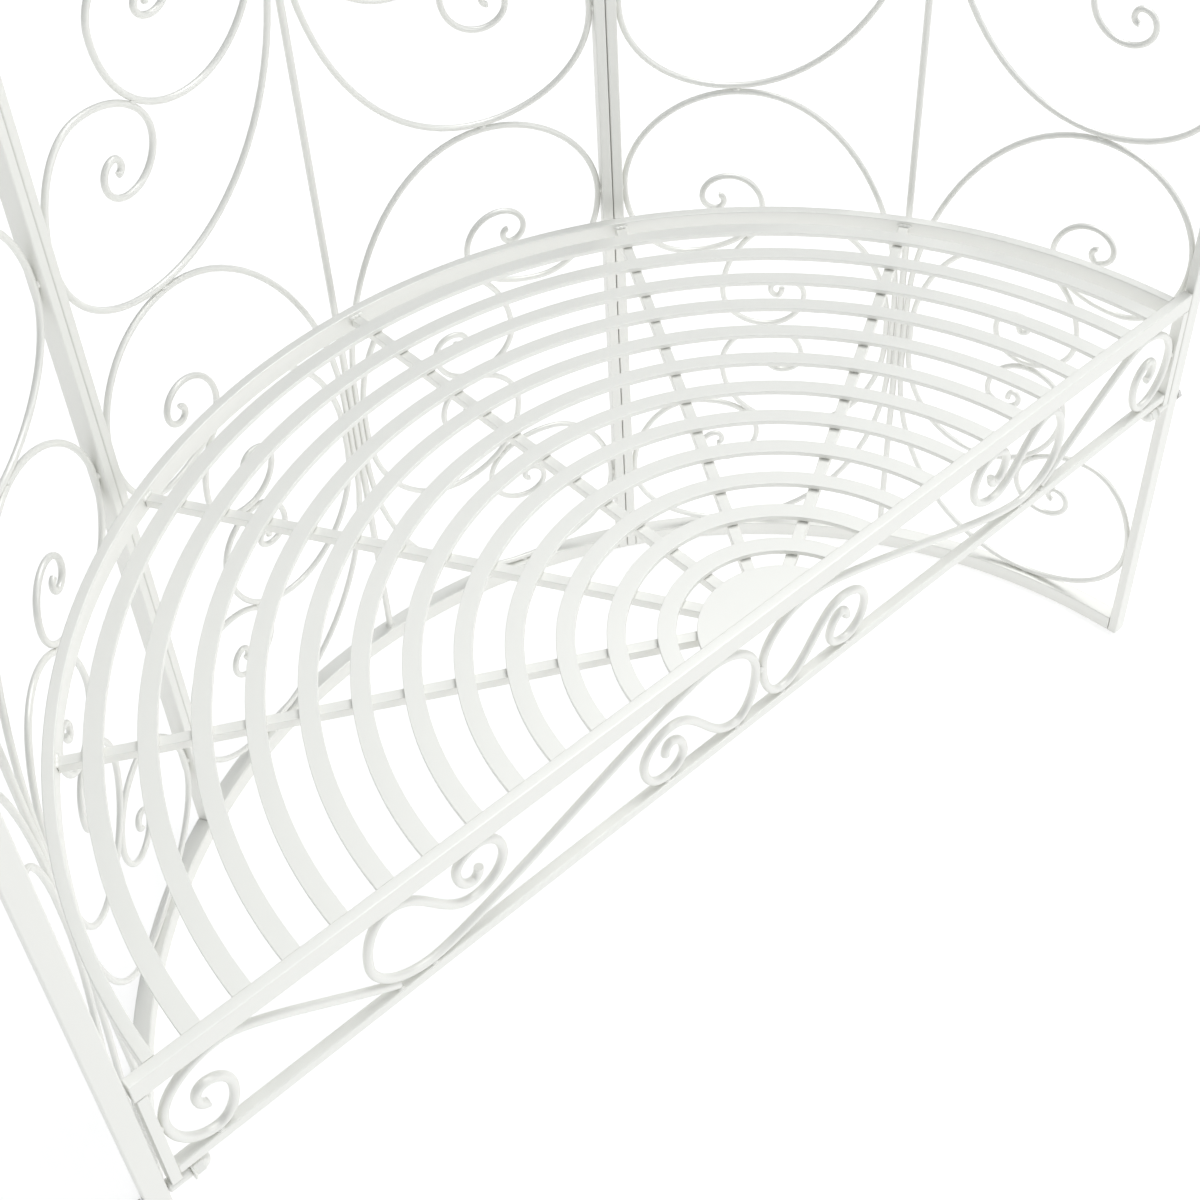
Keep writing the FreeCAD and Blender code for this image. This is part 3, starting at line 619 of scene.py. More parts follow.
def long_scroll(apron, layout):
    """Path of the left-hand long scroll of the apron: two like halves, joined by a slope."""
    low, high, middle = layout.apron_low, layout.apron_high, layout.apron_gap / 2
    left = -layout.apron_half + apron.end_scroll_reach
    right = -apron.bar / 2 - TOUCH / 2
    half = start_path(right - apron.top_reach, high)
    add_quarter(half, apron.top_reach, middle - high, True)
    add_quarter(half, -apron.loop_reach, low - middle, False)
    add_sway(half, -apron.sway, apron.curl_top - low)
    add_curl(half, APRON_CURL, -1, -1, True)
    turned = flipped(half, lambda spot: (left + right - spot[0], layout.apron_gap - spot[1]))
    (u0, v0), (u1, v1) = turned[-1][0], half[0][0]
    pull = (u1 - u0) / 6
    turned[-1][2] = (u0 + pull, v0)
    half[0][1] = (u1 - pull, v1)
    return turned + half


def end_scroll(apron, layout, foot):
    """Path of the left-hand end scroll: up a slope from its foot on the rail and into a curl."""
    low, high, middle = layout.apron_low, layout.apron_high, layout.apron_gap / 2
    top = -layout.apron_half + low + apron.top_reach
    run = top + foot
    path = start_path(-foot, low + TOUCH)
    add_point(path, (top, high), (-foot + run / 3, low + (high - low) / 3), (top - run / 6, high))
    add_quarter(path, -apron.top_reach, middle - high, True)
    add_quarter(path, apron.end_loop_reach, low - middle, False)
    add_curl(path, END_CURL, 1, 1, True)
    return path


def apron_scrolls(apron, layout):
    """Paths of the left-hand long scroll and of the end scroll whose foot stands beside it."""
    long_path = long_scroll(apron, layout)
    reach = layout.apron_half - apron.end_scroll_reach
    foot = lowest_clear(
        lambda value: end_scroll(apron, layout, value), long_path,
        reach - apron.end_scroll_reach / 2, layout.apron_half, apron.bar + TOUCH,
    )
    return long_path, end_scroll(apron, layout, foot)


def wrap_on_wall(piece, radius, floor):
    """Bend a flat piece onto the round wall: X along it, Z up from a floor."""
    for point in piece.data.vertices:
        angle = point.co.x / radius
        reach = radius + point.co.y
        point.co = (reach * math.cos(angle), reach * math.sin(angle), point.co.z + floor)
    mend(piece)


def duplicate(piece):
    """Copy of a piece with its own mesh."""
    activate(piece)
    bpy.ops.object.duplicate(linked=False)
    return bpy.context.object


def mirrored(piece, axis):
    """Copy of a piece, mirrored along an axis about the wall's axis."""
    copy = duplicate(piece)
    copy.scale[axis] = -1
    apply_place(copy)
    mend(copy)
    return copy


def copied(piece, turn=0.0, mirror=False, lift=0.0):
    """Copy of a piece, mirrored along Y if asked, turned about the wall's axis and lifted."""
    copy = mirrored(piece, 1) if mirror else duplicate(piece)
    return move(copy, (0, 0, lift), (0, 0, turn))


def join_all(pieces):
    """One piece of several."""
    deselect()
    for piece in pieces:
        piece.select_set(True)
    bpy.context.view_layer.objects.active = pieces[0]
    if len(pieces) > 1:
        bpy.ops.object.join()
    return bpy.context.object


def both_sides(piece):
    """A piece joined with its mirror image on the other side of the object's middle."""
    return join_all([piece, mirrored(piece, 0)])


def delete(*patterns):
    """Remove pattern pieces that were only copied from."""
    for pattern in patterns:
        activate(pattern)
        bpy.ops.object.delete()


def finish_piece(piece, name, slot="white_paint", nodes=()):
    """Move a piece to the frame's axis, smooth and paint it, and hand it to the frame."""
    move(piece, (0, AXIS_Y, 0))
    bpy.ops.object.shade_smooth_by_angle(angle=SMOOTH_ANGLE)
    piece.modifiers.new("flat_faces", "WEIGHTED_NORMAL").keep_sharp = True
    bpy.ops.object.modifier_apply(modifier="flat_faces")
    piece.name = piece.data.name = name
    piece.data.materials.clear()
    piece.data.materials.append(bpy.data.materials[slot])
    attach(piece, "root")
    if nodes:
        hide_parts(*nodes)


def finish_node(piece, node, look="rounded", slot="white_paint"):
    """Finish a piece that stands for one of the frame's nodes, named for it and its look."""
    finish_piece(piece, f"{node}_{look}", slot, [node])


def new_material(name):
    """Material with a principled shader, and its node tree."""
    material = bpy.data.materials.new(name)
    material.use_nodes = True
    tree = material.node_tree
    return material, tree, tree.nodes["Principled BSDF"]


def set_sockets(node, values):
    """Set a node's own sockets by their names."""
    for name, value in values.items():
        node.inputs[name].default_value = value


def noise(tree, scale, detail, roughness=0.5):
    """Noise over the object's own coordinates."""
    place = tree.nodes.new("ShaderNodeTexCoord")
    texture = tree.nodes.new("ShaderNodeTexNoise")
    set_sockets(texture, {"Scale": scale, "Detail": detail, "Roughness": roughness})
    tree.links.new(place.outputs["Object"], texture.inputs["Vector"])
    return texture.outputs["Fac"]


def blend(tree, source, stops):
    """Colours over a value, from (position, colour) stops."""
    ramp = tree.nodes.new("ShaderNodeValToRGB")
    edges = ramp.color_ramp.elements
    for edge, (position, shade) in zip(edges, stops):
        edge.position = position
        edge.color = (*shade, 1.0)
    tree.links.new(source, ramp.inputs["Fac"])
    return ramp.outputs["Color"]


def spread(tree, source, low, high):
    """A noise value, most of which lies around its middle, spread over a range."""
    spreader = tree.nodes.new("ShaderNodeMapRange")
    ends = {"From Min": 0.3, "From Max": 0.7, "To Min": low, "To Max": high}
    set_sockets(spreader, ends)
    tree.links.new(source, spreader.inputs["Value"])
    return spreader.outputs["Result"]


def bumps(tree, shader, layers):
    """Bump layers of (value, strength, height) under a shader."""
    normal = None
    for value, strength, height in layers:
        bump = tree.nodes.new("ShaderNodeBump")
        set_sockets(bump, {"Strength": strength, "Distance": height})
        tree.links.new(value, bump.inputs["Height"])
        if normal:
            tree.links.new(normal, bump.inputs["Normal"])
        normal = bump.outputs["Normal"]
    tree.links.new(normal, shader.inputs["Normal"])


class GAZEBO_OT_finishes(bpy.types.Operator):
    """Make the paint and the metal of the gazebo and put them on the frame's pieces"""

    bl_idname = "gazebo.finishes"
    bl_label = "Finishes"

    def execute(self, context):
        finish = context.scene.gazebo_finish
        self.white_paint(finish)
        self.bolt_steel(finish)
        slots = {row["node"]: row["material_slot"] for row in frame["record"]["subparts"]}
        for name, node in frame["nodes"].items():
            node.data.materials.clear()
            node.data.materials.append(bpy.data.materials[slots[name]])
        return {"FINISHED"}

    def white_paint(self, finish):
        """Matt off-white paint, a little uneven, with faint dust and a fine spray texture."""
        _, tree, shader = new_material("white_paint")
        patches = noise(tree, scale=9.0, detail=5.0, roughness=0.6)
        specks = noise(tree, scale=320.0, detail=3.0, roughness=0.7)
        base = blend(tree, patches, ((0.30, finish.paint_thin), (0.52, finish.paint)))
        dust = blend(tree, specks, ((0.25, finish.grime), (0.36, WHITE)))
        mix = tree.nodes.new("ShaderNodeMix")
        mix.data_type = "RGBA"
        mix.blend_type = "MULTIPLY"
        set_sockets(mix, {"Factor": 0.35})
        tree.links.new(base, mix.inputs["A"])
        tree.links.new(dust, mix.inputs["B"])
        tree.links.new(mix.outputs["Result"], shader.inputs["Base Color"])
        set_sockets(shader, {"Specular IOR Level": 0.2})
        gloss = spread(tree, noise(tree, scale=45.0, detail=4.0), 0.62, 0.74)
        tree.links.new(gloss, shader.inputs["Roughness"])
        runs, spray = noise(tree, scale=75.0, detail=3.0), noise(tree, scale=620.0, detail=2.0)
        bumps(tree, shader, ((runs, 0.25, 0.0006), (spray, 0.22, 0.00012)))

    def bolt_steel(self, finish):
        """Zinc-plated steel with a cloudy sheen and fine scratches."""
        _, tree, shader = new_material("bolt_steel")
        dark = tuple(0.72 * part for part in finish.zinc)
        cloud = noise(tree, scale=140.0, detail=5.0, roughness=0.65)
        plating = blend(tree, cloud, ((0.3, dark), (0.62, finish.zinc)))
        tree.links.new(plating, shader.inputs["Base Color"])
        set_sockets(shader, {"Metallic": 0.85})
        gloss = spread(tree, noise(tree, scale=260.0, detail=4.0), 0.34, 0.5)
        tree.links.new(gloss, shader.inputs["Roughness"])
        bumps(tree, shader, ((noise(tree, scale=900.0, detail=2.0), 0.2, 0.0001),))


class GAZEBO_OT_wall_frames(bpy.types.Operator):
    """Model the side tubes, curved rails and rods of the three wall panels"""

    bl_idname = "gazebo.wall_frames"
    bl_label = "Wall Frames"

    def execute(self, context):
        wall, layout = context.scene.gazebo_wall, Layout(context.scene)
        tube = upright_tube(
            (wall.inner_radius, wall.panel_gap / 2, 0),
            (layout.wall_outer, layout.tube_far, WALL_TOP), wall.edge, wall.tube_wall,
        )
        rod = self.rod(wall, layout)
        margin = math.asin((layout.tube_far + TOUCH) / wall.inner_radius)
        rail = spun_bar(
            (wall.inner_radius, layout.wall_outer, 0, RAIL_HEIGHT), wall.edge,
            margin, layout.panel_angle - margin, steps=48,
        )
        levels = (("bottom", 0.0), ("middle", MIDDLE_RAIL_BOTTOM), ("top", TOP_RAIL_BOTTOM))
        for panel, (name, (first, last)) in enumerate(PANELS):
            start, end = layout.joints[panel], layout.joints[panel + 1]
            for edge, turn, mirror in ((first, start, False), (last, end, True)):
                finish_node(copied(tube, turn, mirror), f"{name}_panel_{edge}_tube")
            for level, lift in levels:
                finish_node(copied(rail, start, lift=lift), f"{name}_panel_{level}_rail")
            finish_node(copied(rod, layout.rod_angle(panel)), f"{name}_panel_rod", "round")
        delete(tube, rod, rail)
        return {"FINISHED"}

    def rod(self, wall, layout):
        """Round rod from the bottom rail to the top rail, with a weld collar at each end."""
        deselect()
        foot = (layout.wall_radius, 0, BOTTOM_RAIL_TOP)
        bpy.ops.mesh.primitive_circle_add(
            vertices=16, radius=wall.rod * COLLAR_RADIUS, fill_type="NGON", location=foot
        )
        rod = bpy.context.object
        apply_place(rod)
        edit_all(rod)
        collar = wall.rod * COLLAR_HEIGHT
        slim = 0.5 / COLLAR_RADIUS
        height = TOP_RAIL_BOTTOM - BOTTOM_RAIL_TOP
        for rise, scale in ((collar, slim), (height - 2 * collar, 1.0), (collar, 1 / slim)):
            extrude((0, 0, rise))
            bpy.ops.transform.resize(value=(scale, scale, 1), center_override=foot)
        mend(rod)
        return rod


class GAZEBO_OT_wall_scrolls(bpy.types.Operator):
    """Bend the large and the small round-bar scrolls of the wall panels"""

    bl_idname = "gazebo.wall_scrolls"
    bl_label = "Wall Scrolls"

    def execute(self, context):
        wall, layout = context.scene.gazebo_wall, Layout(context.scene)
        for kind, half in zip(("large", "small"), wall_scroll_halves(wall, layout)):
            bar = round_bar(double_scroll(half, wall.row_height), wall.scroll_bar)
            wrap_on_wall(bar, layout.wall_radius, BOTTOM_RAIL_TOP)
            lifts = [row * wall.row_height for row in range(1, layout.rows)]
            pattern = join_all([bar, *[copied(bar, lift=lift) for lift in lifts]])
            for panel, (name, (first, last)) in enumerate(PANELS):
                for edge, mirror in ((first, True), (last, False)):
                    scrolls = copied(pattern, layout.rod_angle(panel), mirror)
                    finish_node(scrolls, f"{name}_panel_{edge}_{kind}_scrolls", "round")
            delete(pattern)
        return {"FINISHED"}


class GAZEBO_OT_seat(bpy.types.Operator):
    """Model the slats, rim, radial bars, hub plate and front rail of the bench"""

    bl_idname = "gazebo.seat"
    bl_label = "Bench Seat"

    def execute(self, context):
        seat, layout = context.scene.gazebo_seat, Layout(context.scene)
        self.slats(seat, layout)
        rim = spun_bar(
            (layout.rim_inner, layout.rim_outer, SEAT_TUBE_BOTTOM, SEAT_TOP), seat.edge,
            0, math.pi, steps=120, front=layout.rail_back,
        )
        finish_node(rim, "seat_rim")
        half = layout.seat_half - seat.end_gap
        rail = rounded_box(
            (-half, layout.rail_front, SEAT_TUBE_BOTTOM), (half, layout.rail_back, SEAT_TOP),
            seat.edge,
        )
        finish_node(rail, "seat_front_rail")
        self.radial_bars(seat, layout)
        self.hub_plate(seat, layout)
        return {"FINISHED"}

    def slats(self, seat, layout):
        """Half-round flat bars, all about the wall's axis, ending on the front rail."""
        front = layout.rail_back - seat.slat_edge
        bars = []
        for outer in layout.slat_outers:
            section = (outer - seat.slat_width, outer, layout.slat_bottom, SEAT_TOP)
            bars.append(spun_bar(section, seat.slat_edge, 0, math.pi, steps=128, front=front))
        finish_node(join_all(bars), "seat_slats")

    def radial_bars(self, seat, layout):
        """Square bars under the slats, from the hub plate to the rim."""
        half = seat.radial_bar / 2
        bars = []
        for aim, reach, angle in layout.radial_runs(seat):
            bar = rounded_box(
                (seat.radial_start, -half, layout.slat_bottom - seat.radial_bar),
                (reach, half, layout.slat_bottom - seat.radial_gap), seat.edge / 2,
            )
            bars.append(move(bar, aim, (0, 0, angle)))
        finish_node(join_all(bars), "seat_radial_bars")

    def hub_plate(self, seat, layout):
        """Part-round plate against the front rail, with rounded edges."""
        deselect()
        bpy.ops.mesh.primitive_cylinder_add(
            vertices=96, radius=seat.hub_radius, depth=seat.slat_thickness,
            location=(0, 0, SEAT_TOP - seat.slat_thickness / 2),
        )
        plate = bpy.context.object
        apply_place(plate)
        edit_level_faces(plate, 1, -1)
        bpy.ops.mesh.bevel(offset=seat.slat_edge, segments=EDGE_STEPS, affect="EDGES")
        cut_front(plate, layout.rail_back - seat.slat_edge)
        mend(plate)
        finish_node(plate, "seat_hub_plate")


class GAZEBO_OT_apron(bpy.types.Operator):
    """Model the lower rail, end bars and scrolls of the apron"""

    bl_idname = "gazebo.apron"
    bl_label = "Apron"

    def execute(self, context):
        scene = context.scene
        seat, apron, layout = scene.gazebo_seat, scene.gazebo_apron, Layout(scene)
        half = (APRON_RAIL_TOP - APRON_RAIL_BOTTOM) / 2
        rail = rounded_box(
            (-layout.apron_half, layout.apron_y - half, APRON_RAIL_BOTTOM),
            (layout.apron_half, layout.apron_y + half, APRON_RAIL_TOP), seat.edge,
        )
        finish_node(rail, "apron_lower_rail")
        finish_node(both_sides(self.end_bar(seat, apron, layout)), "apron_end_bars")
        for kind, path in zip(("long", "end"), apron_scrolls(apron, layout)):
            scroll = move(round_bar(path, apron.bar), (0, layout.apron_y, APRON_RAIL_TOP))
            finish_node(both_sides(scroll), f"apron_{kind}_scrolls", "round")
        return {"FINISHED"}

    def end_bar(self, seat, apron, layout):
        """Upright bar under the front rail with a sleeve for the bolt welded under it."""
        half = apron.end_bar / 2
        outer = layout.seat_half - apron.end_bar_gap
        bar = rounded_box(
            (layout.apron_half, layout.apron_y - half, layout.bolt_z + apron.sleeve / 2 - TOUCH),
            (outer, layout.apron_y + half, SEAT_TUBE_BOTTOM), seat.edge / 2,
        )
        radius, lip = apron.sleeve / 2, apron.sleeve / 12
        reach = layout.seat_half - layout.apron_half + apron.sleeve_reach
        start = ((0, 0), (radius - lip, 0), (radius, lip))
        end = ((radius, reach - lip), (radius - lip, reach), (0, reach))
        sleeve = turned_piece(start + end, steps=32)
        place = (layout.seat_half, layout.apron_y, layout.bolt_z)
        return join_all([bar, move(sleeve, place, (0, -math.pi / 2, 0))])


class GAZEBO_OT_welds(bpy.types.Operator):
    """Lay weld beads where the bars of the wall, the bench and the apron meet"""

    bl_idname = "gazebo.welds"
    bl_label = "Weld Beads"

    def execute(self, context):
        scene = context.scene
        layout = Layout(scene)
        self.size = scene.gazebo_fasteners.bead
        self.pattern = self.bead()
        self.wall_welds(scene.gazebo_wall, layout)
        self.seat_welds(scene.gazebo_seat, layout)
        self.apron_welds(scene.gazebo_apron, layout)
        delete(self.pattern)
        return {"FINISHED"}

    def bead(self):
        """One lumpy bead of weld metal, long in X."""
        deselect()
        bpy.ops.mesh.primitive_ico_sphere_add(subdivisions=2, radius=self.size / 2)
        bead = bpy.context.object
        edit_all(bead)
        bpy.ops.transform.resize(value=BEAD_SHAPE)
        bpy.ops.mesh.vertices_smooth(factor=0.3)
        bpy.ops.transform.vertex_random(offset=self.size * BEAD_UNEVEN, seed=7)
        mend(bead)
        return bead

    def lay(self, place, turn, tip=0.0):
        """Copy of the bead at a place, tipped in its own plane and turned about the upright."""
        turned = Matrix.Translation(place) @ Matrix.Rotation(turn, 4, "Z")
        return put(duplicate(self.pattern), turned @ Matrix.Rotation(tip, 4, "Y"))

    def wall_welds(self, wall, layout):
        """Beads on the scrolls of half a panel, laid once and copied."""
        large, small = wall_scroll_halves(wall, layout)
        upright = math.pi / 2
        on_rail, (side_u, side_v) = large[1][0][0], large[2][0]
        rail_spot = ((on_rail, 0.0), 0.0)
        lower = [
            ((side_u + wall.scroll_bar / 2, side_v), upright),
            (nearest(small, large)[1], BEAD_SLANT),
        ]
        upper = [((u, wall.row_height - v), -tip) for (u, v), tip in lower]
        spots = [rail_spot, *lower, *upper, ((small[3][0][0], wall.row_height / 2), 0.0)]
        reach = layout.wall_radius - wall.scroll_bar * WALL_BEAD_PROUD
        beads = []
        for row in range(layout.rows + 1):
            floor = BOTTOM_RAIL_TOP + row * wall.row_height
            for (u, v), tip in spots if row < layout.rows else [rail_spot]:
                angle = u / layout.wall_radius
                place = (reach * math.cos(angle), reach * math.sin(angle), floor + v)
                beads.append(self.lay(place, angle + upright, tip))
        pattern = join_all(beads)
        for panel, (name, _) in enumerate(PANELS):
            turn = layout.rod_angle(panel)
            pair = join_all([copied(pattern, turn), copied(pattern, turn, mirror=True)])
            finish_piece(pair, f"{name}_panel_weld_beads")
        delete(pattern)

    def seat_welds(self, seat, layout):
        """Beads where slats meet the front rail and radial bars, and where those meet the rim."""
        beads = []
        back, low = layout.rail_back, layout.slat_bottom - self.size * BEAD_DROP
        radii = [outer - seat.slat_width / 2 for outer in layout.slat_outers]
        for radius in radii:
            across = math.sqrt(radius * radius - back * back)
            beads += [self.lay((side * across, back + TOUCH, low), 0.0) for side in (-1, 1)]
        for aim, reach, angle in layout.radial_runs(seat):
            ahead = Vector((math.cos(angle), math.sin(angle), 0))
            sideways = Vector((-ahead.y, ahead.x, 0)) * seat.radial_bar / 2
            for radius in radii:
                along = math.sqrt(radius * radius - (aim.y * ahead.x) ** 2) - aim.y * ahead.y
                place = aim + ahead * along + Vector((0, 0, low))
                beads += [self.lay(place + sideways * side, angle) for side in (-1, 1)]
            rim, across = aim + ahead * reach + Vector((0, 0, low)), angle + math.pi / 2
            beads += [self.lay(rim + sideways * side, across) for side in RIM_BEADS]
        finish_piece(join_all(beads), "seat_weld_beads")

    def apron_welds(self, apron, layout):
        """Beads where the apron's scrolls touch the rails, the end bars and each other."""
        gap, upright = layout.apron_gap, math.pi / 2
        spots = [
            (-apron.bar * APRON_BEAD_SHIFT, gap / 2, upright),
            (-layout.apron_half, gap / 2, upright),
        ]
        long_path, end_path = apron_scrolls(apron, layout)
        for (u, v), _, _ in long_path + end_path:
            if v < layout.apron_low + 2 * TOUCH:
                spots.append((u, 0.0, 0.0))
            elif v > layout.apron_high - TOUCH:
                spots.append((u, gap, 0.0))
        front = layout.apron_y - apron.bar * APRON_BEAD_PROUD
        beads = [self.lay((u, front, APRON_RAIL_TOP + v), 0.0, tip) for u, v, tip in spots]
        finish_piece(both_sides(join_all(beads)), "apron_weld_beads")


class GAZEBO_OT_fasteners(bpy.types.Operator):
    """Model the bolts and nuts that join the panels and hold the bench"""

    bl_idname = "gazebo.fasteners"
    bl_label = "Bolts and Nuts"

    def execute(self, context):
        scene = context.scene
        sizes, layout = scene.gazebo_fasteners, Layout(scene)
        self.panel_fasteners(scene.gazebo_wall, sizes, layout)
        self.seat_fasteners(scene.gazebo_apron, sizes, layout)
        return {"FINISHED"}

    def panel_fasteners(self, wall, sizes, layout):
        """Bolts and nuts through the side tubes that meet, two in the open bay of each joint."""
        grip = wall.panel_gap + 2 * wall.tube_width
        levels = (
            MIDDLE_RAIL_BOTTOM + RAIL_HEIGHT + sizes.panel_bolt_inset,
            TOP_RAIL_BOTTOM - sizes.panel_bolt_inset,
        )
        bolt, nut = self.bolt(sizes, grip + sizes.nut_height), self.nut(sizes)
        along = Matrix.Rotation(-math.pi / 2, 4, "X")
        for node, pattern, side in (("panel_bolts", bolt, -1), ("panel_nuts", nut, 1)):
            copies = []
            for joint in layout.joints[1:-1]:
                turn = Matrix.Rotation(joint, 4, "Z")
                for level in levels:
                    seat = Matrix.Translation((layout.wall_radius, side * grip / 2, level))
                    copies.append(put(duplicate(pattern), turn @ seat @ along))
            finish_node(join_all(copies), node, "turned", "bolt_steel")
        delete(bolt, nut)

    def seat_fasteners(self, apron, sizes, layout):
        """Bolts through the front tubes and the apron's sleeves, with a cap nut on each."""
        head = layout.wall_outer + TOUCH
        sleeve_end = layout.apron_half - apron.sleeve_reach
        bolt = self.bolt(sizes, head - layout.apron_half + sizes.nut_height)
        nut = self.cap_nut(sizes)
        for piece, x in ((bolt, head), (nut, sleeve_end)):
            seat = Matrix.Translation((x, layout.apron_y, layout.bolt_z))
            put(piece, seat @ Matrix.Rotation(-math.pi / 2, 4, "Y"))
        finish_node(both_sides(bolt), "seat_bolts", "turned", "bolt_steel")
        finish_node(both_sides(nut), "seat_nuts", "domed")

    def bolt(self, sizes, reach):
        """Hexagon bolt with its seat at the origin and its shank along Z."""
        head = move(hexagon_piece(sizes.head, sizes.head_height), turn=(math.pi, 0, 0))
        radius, tip = sizes.bolt / 2, SHANK_CHAMFER
        start = ((0, -tip), (radius, -tip))
        end = ((radius, reach - tip), (radius - tip, reach), (0, reach))
        return join_all([head, turned_piece(start + end, steps=24)])

    def nut(self, sizes):
        """Hexagon nut on the origin, with a ring on its faces around the bolt."""
        nut = hexagon_piece(sizes.head, sizes.nut_height)
        edit_level_faces(nut, 1, -1)
        bpy.ops.mesh.inset(thickness=(sizes.head - sizes.bolt) / 4, depth=0.0)
        mend(nut)
        return nut

    def cap_nut(self, sizes):
        """Washer, hexagon and dome over the bolt's end."""
        half, flats = sizes.cap / 2, sizes.cap_height * 0.5
        rim, chamfer = half * 1.3, WASHER * 0.6
        washer = turned_piece(
            ((0, 0), (rim, 0), (rim, chamfer), (rim - WASHER, WASHER), (0, WASHER)), steps=32
        )
        hexagon = move(hexagon_piece(sizes.cap, flats), (0, 0, WASHER * 0.9))
        base, radius, steps = flats + WASHER * 0.5, half * 0.9, 8
        rise = sizes.cap_height - base
        turns = [math.pi / 2 * i / steps for i in range(steps)]
        arch = [(radius * math.cos(turn), base + rise * math.sin(turn)) for turn in turns]
        dome = turned_piece([(0, base), *arch, (0, base + rise)], steps=32)
        return join_all([washer, hexagon, dome])


class GAZEBO_OT_roof(bpy.types.Operator):
    """Model the bent ribs, their feet, the ring, the hub and the finial"""

    bl_idname = "gazebo.roof"
    bl_label = "Roof"

    def execute(self, context):
        scene = context.scene
        wall, roof, layout = scene.gazebo_wall, scene.gazebo_roof, Layout(scene)
        spring = WALL_TOP + roof.foot_thickness
        angles = layout.rib_angles(wall)
        rib = self.rib(wall, roof, layout, spring)
        for name, (angle, _) in zip(RIBS, angles):
            finish_node(copied(rib, angle), f"roof_rib_{name}", "bent")
        delete(rib)
        feet = []
        for angle, half in angles:
            low, high = (wall.inner_radius, -half, WALL_TOP), (layout.wall_outer, half, spring)
            feet.append(move(rounded_box(low, high, wall.edge / 2), turn=(0, 0, angle)))
        finish_node(join_all(feet), "roof_rib_feet")
        self.ring(roof, layout, spring, [angle for angle, _ in angles])
        self.hub(roof, spring + layout.wall_radius - roof.hub_height / 2)
        self.finial(roof, spring + layout.wall_radius + roof.hub_height / 2)
        return {"FINISHED"}

    def rib(self, wall, roof, layout, spring):
        """Quarter-round rib in the plane of X and Z, from the top of the wall to the hub."""
        inner, half = layout.wall_radius - roof.rib_depth / 2, roof.rib_width / 2
        end = math.acos((roof.hub_radius + TOUCH) / inner)
        rib = spun_bar((inner, inner + roof.rib_depth, -half, half), wall.edge, 0, end, steps=64)
        return move(rib, (0, 0, spring), (math.pi / 2, 0, 0))

    def ring(self, roof, layout, spring, angles):
        """Bars between neighbouring ribs, part of the way up."""
        radius = layout.wall_radius * math.cos(roof.ring_angle)
        level = spring + layout.wall_radius * math.sin(roof.ring_angle)
        half = roof.ring_bar / 2
        margin = math.asin((roof.rib_width / 2 + TOUCH) / (radius - half))
        section = (radius - half, radius + half, level - half, level + half)
        edge = roof.ring_bar * RING_EDGE
        bars = [
            spun_bar(section, edge, start + margin, end - margin, steps=40)
            for start, end in zip(angles, angles[1:])
        ]
        finish_node(join_all(bars), "roof_ring")

    def hub(self, roof, bottom):
        """Turned boss with a rounded lip at its bottom and its top."""
        radius, lip = roof.hub_radius, roof.hub_radius * HUB_LIP
        waist = radius - lip
        lower = [(0, 0), (waist, 0), (radius, lip), (radius, 3 * lip), (waist, 4 * lip)]
        profile = lower + [(r, roof.hub_height - z) for r, z in reversed(lower)]
        hub = turned_piece([(r, bottom + z) for r, z in profile], steps=64)
        finish_node(hub, "roof_hub", "turned")

    def finial(self, roof, base):
        """Turned finial: a flared neck, a ball and a spike."""
        neck, ball, steps = roof.finial_neck, roof.finial_ball, 16
        turn = math.acos(neck / ball)
        middle = base + neck + ball * math.sin(turn)
        profile = [(neck * r, base + neck * z) for r, z in FINIAL_FOOT]
        for i in range(steps + 1):
            angle = turn * (2 * i / steps - 1)
            profile.append((ball * math.cos(angle), middle + ball * math.sin(angle)))
        collar = profile[-1][1]
        tip = collar + roof.finial_spike
        profile += [(neck * r, collar + neck * z) for r, z in FINIAL_COLLAR]
        profile.append((neck * FINIAL_WAIST, (collar + tip) / 2 + neck))
        profile += [(neck * FINIAL_TIP, tip), (0, tip)]
        finish_node(turned_piece(profile, steps=40), "roof_finial", "turned")


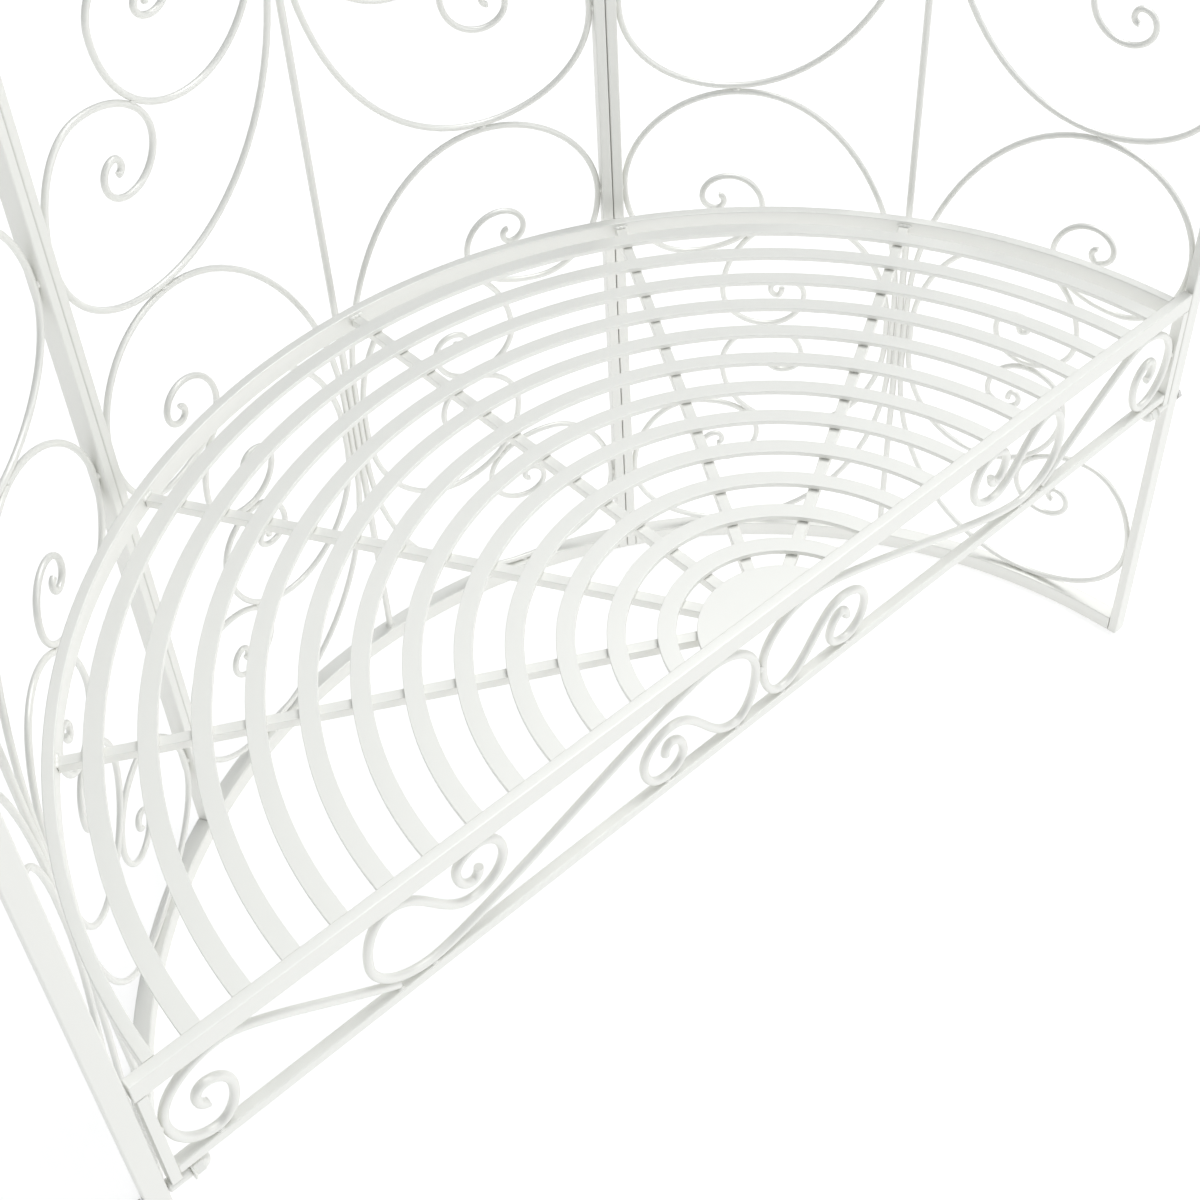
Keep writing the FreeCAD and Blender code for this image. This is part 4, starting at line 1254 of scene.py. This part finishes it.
class GAZEBO_OT_studio(bpy.types.Operator):
    """Set up the pale floor, the soft lights and the camera"""

    bl_idname = "gazebo.studio"
    bl_label = "Studio"

    def execute(self, context):
        self.floor(context.scene.gazebo_finish)
        self.lights(context.scene)
        self.camera(context.scene)
        return {"FINISHED"}

    def floor(self, finish):
        """Wide round floor, pale and a little aglow, with a border."""
        deselect()
        bpy.ops.mesh.primitive_circle_add(
            vertices=96, radius=FLOOR_RADIUS, fill_type="NGON", location=(0, 0, 0)
        )
        floor = bpy.context.object
        edit_all(floor)
        bpy.ops.mesh.inset(thickness=FLOOR_BORDER, depth=0.0)
        bpy.ops.object.mode_set(mode="OBJECT")
        floor.name = floor.data.name = "studio_floor"
        material, tree, shader = new_material("studio_floor")
        soft = tuple(0.985 * part for part in finish.floor)
        clouds = noise(tree, scale=0.8, detail=2.0)
        pale = blend(tree, clouds, ((0.3, soft), (0.7, finish.floor)))
        tree.links.new(pale, shader.inputs["Base Color"])
        glow = {"Emission Color": (*WHITE, 1.0), "Emission Strength": FLOOR_GLOW}
        set_sockets(shader, {"Roughness": 0.9, **glow})
        floor.data.materials.append(material)

    def lights(self, scene):
        """White surroundings, a large soft light overhead and a weaker one in front."""
        world = bpy.data.worlds.new("studio")
        scene.world = world
        world.use_nodes = True
        sky = world.node_tree.nodes["Background"]
        set_sockets(sky, {"Color": (*SKY_COLOUR, 1.0), "Strength": SKY_STRENGTH})
        for name, place, size, power in LIGHTS:
            bpy.ops.object.light_add(type="AREA", location=place)
            lamp = bpy.context.object
            lamp.name = name
            lamp.data.shape = "DISK"
            lamp.data.size = size
            lamp.data.energy = power
            ahead = Vector(LIGHTS_AIM) - Vector(place)
            lamp.rotation_euler = ahead.to_track_quat("-Z", "Y").to_euler()
        scene.view_settings.view_transform = "Standard"

    def camera(self, scene):
        """Camera above the front left, looking down into the bench."""
        yaw, pitch, roll = (math.radians(angle) for angle in CAMERA_ANGLES)
        level = math.cos(pitch)
        forward = Vector((math.sin(yaw) * level, math.cos(yaw) * level, -math.sin(pitch)))
        right = forward.cross(Vector((0, 0, 1))).normalized()
        up = right.cross(forward)
        tilted_right = math.cos(roll) * right + math.sin(roll) * up
        tilted_up = math.cos(roll) * up - math.sin(roll) * right
        turn = Matrix((tilted_right, tilted_up, -forward)).transposed().to_4x4()
        x, y, z = CAMERA_PLACE
        bpy.ops.object.camera_add()
        camera = bpy.context.object
        camera.name = "studio_camera"
        camera.matrix_world = Matrix.Translation((x, y + AXIS_Y, z)) @ turn
        camera.data.sensor_width = 36.0
        camera.data.lens = CAMERA_LENS
        camera.data.shift_x, camera.data.shift_y = CAMERA_SHIFT
        camera.data.clip_end = VIEW_END
        scene.camera = camera


class GAZEBO_PT_panel(bpy.types.Panel):
    """Sidebar panel with the gazebo's pieces and sizes"""

    bl_idname = "GAZEBO_PT_panel"
    bl_label = "Garden Gazebo"
    bl_space_type = "VIEW_3D"
    bl_region_type = "UI"
    bl_category = "Gazebo"

    def draw(self, context):
        for operator in OPERATORS:
            self.layout.operator(operator.bl_idname)
        for name in GROUPS:
            sizes = getattr(context.scene, name)
            box = self.layout.box()
            for prop in sizes.bl_rna.properties:
                if prop.identifier not in ("name", "rna_type"):
                    box.prop(sizes, prop.identifier)


GROUPS = {
    "gazebo_wall": GazeboWallSizes,
    "gazebo_seat": GazeboSeatSizes,
    "gazebo_apron": GazeboApronSizes,
    "gazebo_roof": GazeboRoofSizes,
    "gazebo_fasteners": GazeboFastenerSizes,
    "gazebo_finish": GazeboFinish,
}
OPERATORS = (
    GAZEBO_OT_finishes,
    GAZEBO_OT_wall_frames,
    GAZEBO_OT_wall_scrolls,
    GAZEBO_OT_seat,
    GAZEBO_OT_apron,
    GAZEBO_OT_welds,
    GAZEBO_OT_fasteners,
    GAZEBO_OT_roof,
    GAZEBO_OT_studio,
)


def register():
    """Add the properties, operators and panel to Blender."""
    for name, group in GROUPS.items():
        bpy.utils.register_class(group)
        setattr(bpy.types.Scene, name, PointerProperty(type=group))
    for operator in OPERATORS:
        bpy.utils.register_class(operator)
    bpy.utils.register_class(GAZEBO_PT_panel)


def unregister():
    """Take them out again."""
    bpy.utils.unregister_class(GAZEBO_PT_panel)
    for operator in reversed(OPERATORS):
        bpy.utils.unregister_class(operator)
    for name, group in reversed(GROUPS.items()):
        delattr(bpy.types.Scene, name)
        bpy.utils.unregister_class(group)


def main():
    """Model every piece in order."""
    register()
    bpy.ops.gazebo.finishes()
    bpy.ops.gazebo.wall_frames()
    bpy.ops.gazebo.wall_scrolls()
    bpy.ops.gazebo.seat()
    bpy.ops.gazebo.apron()
    bpy.ops.gazebo.welds()
    bpy.ops.gazebo.fasteners()
    bpy.ops.gazebo.roof()
    bpy.ops.gazebo.studio()


if __name__ == "__main__":
    main()
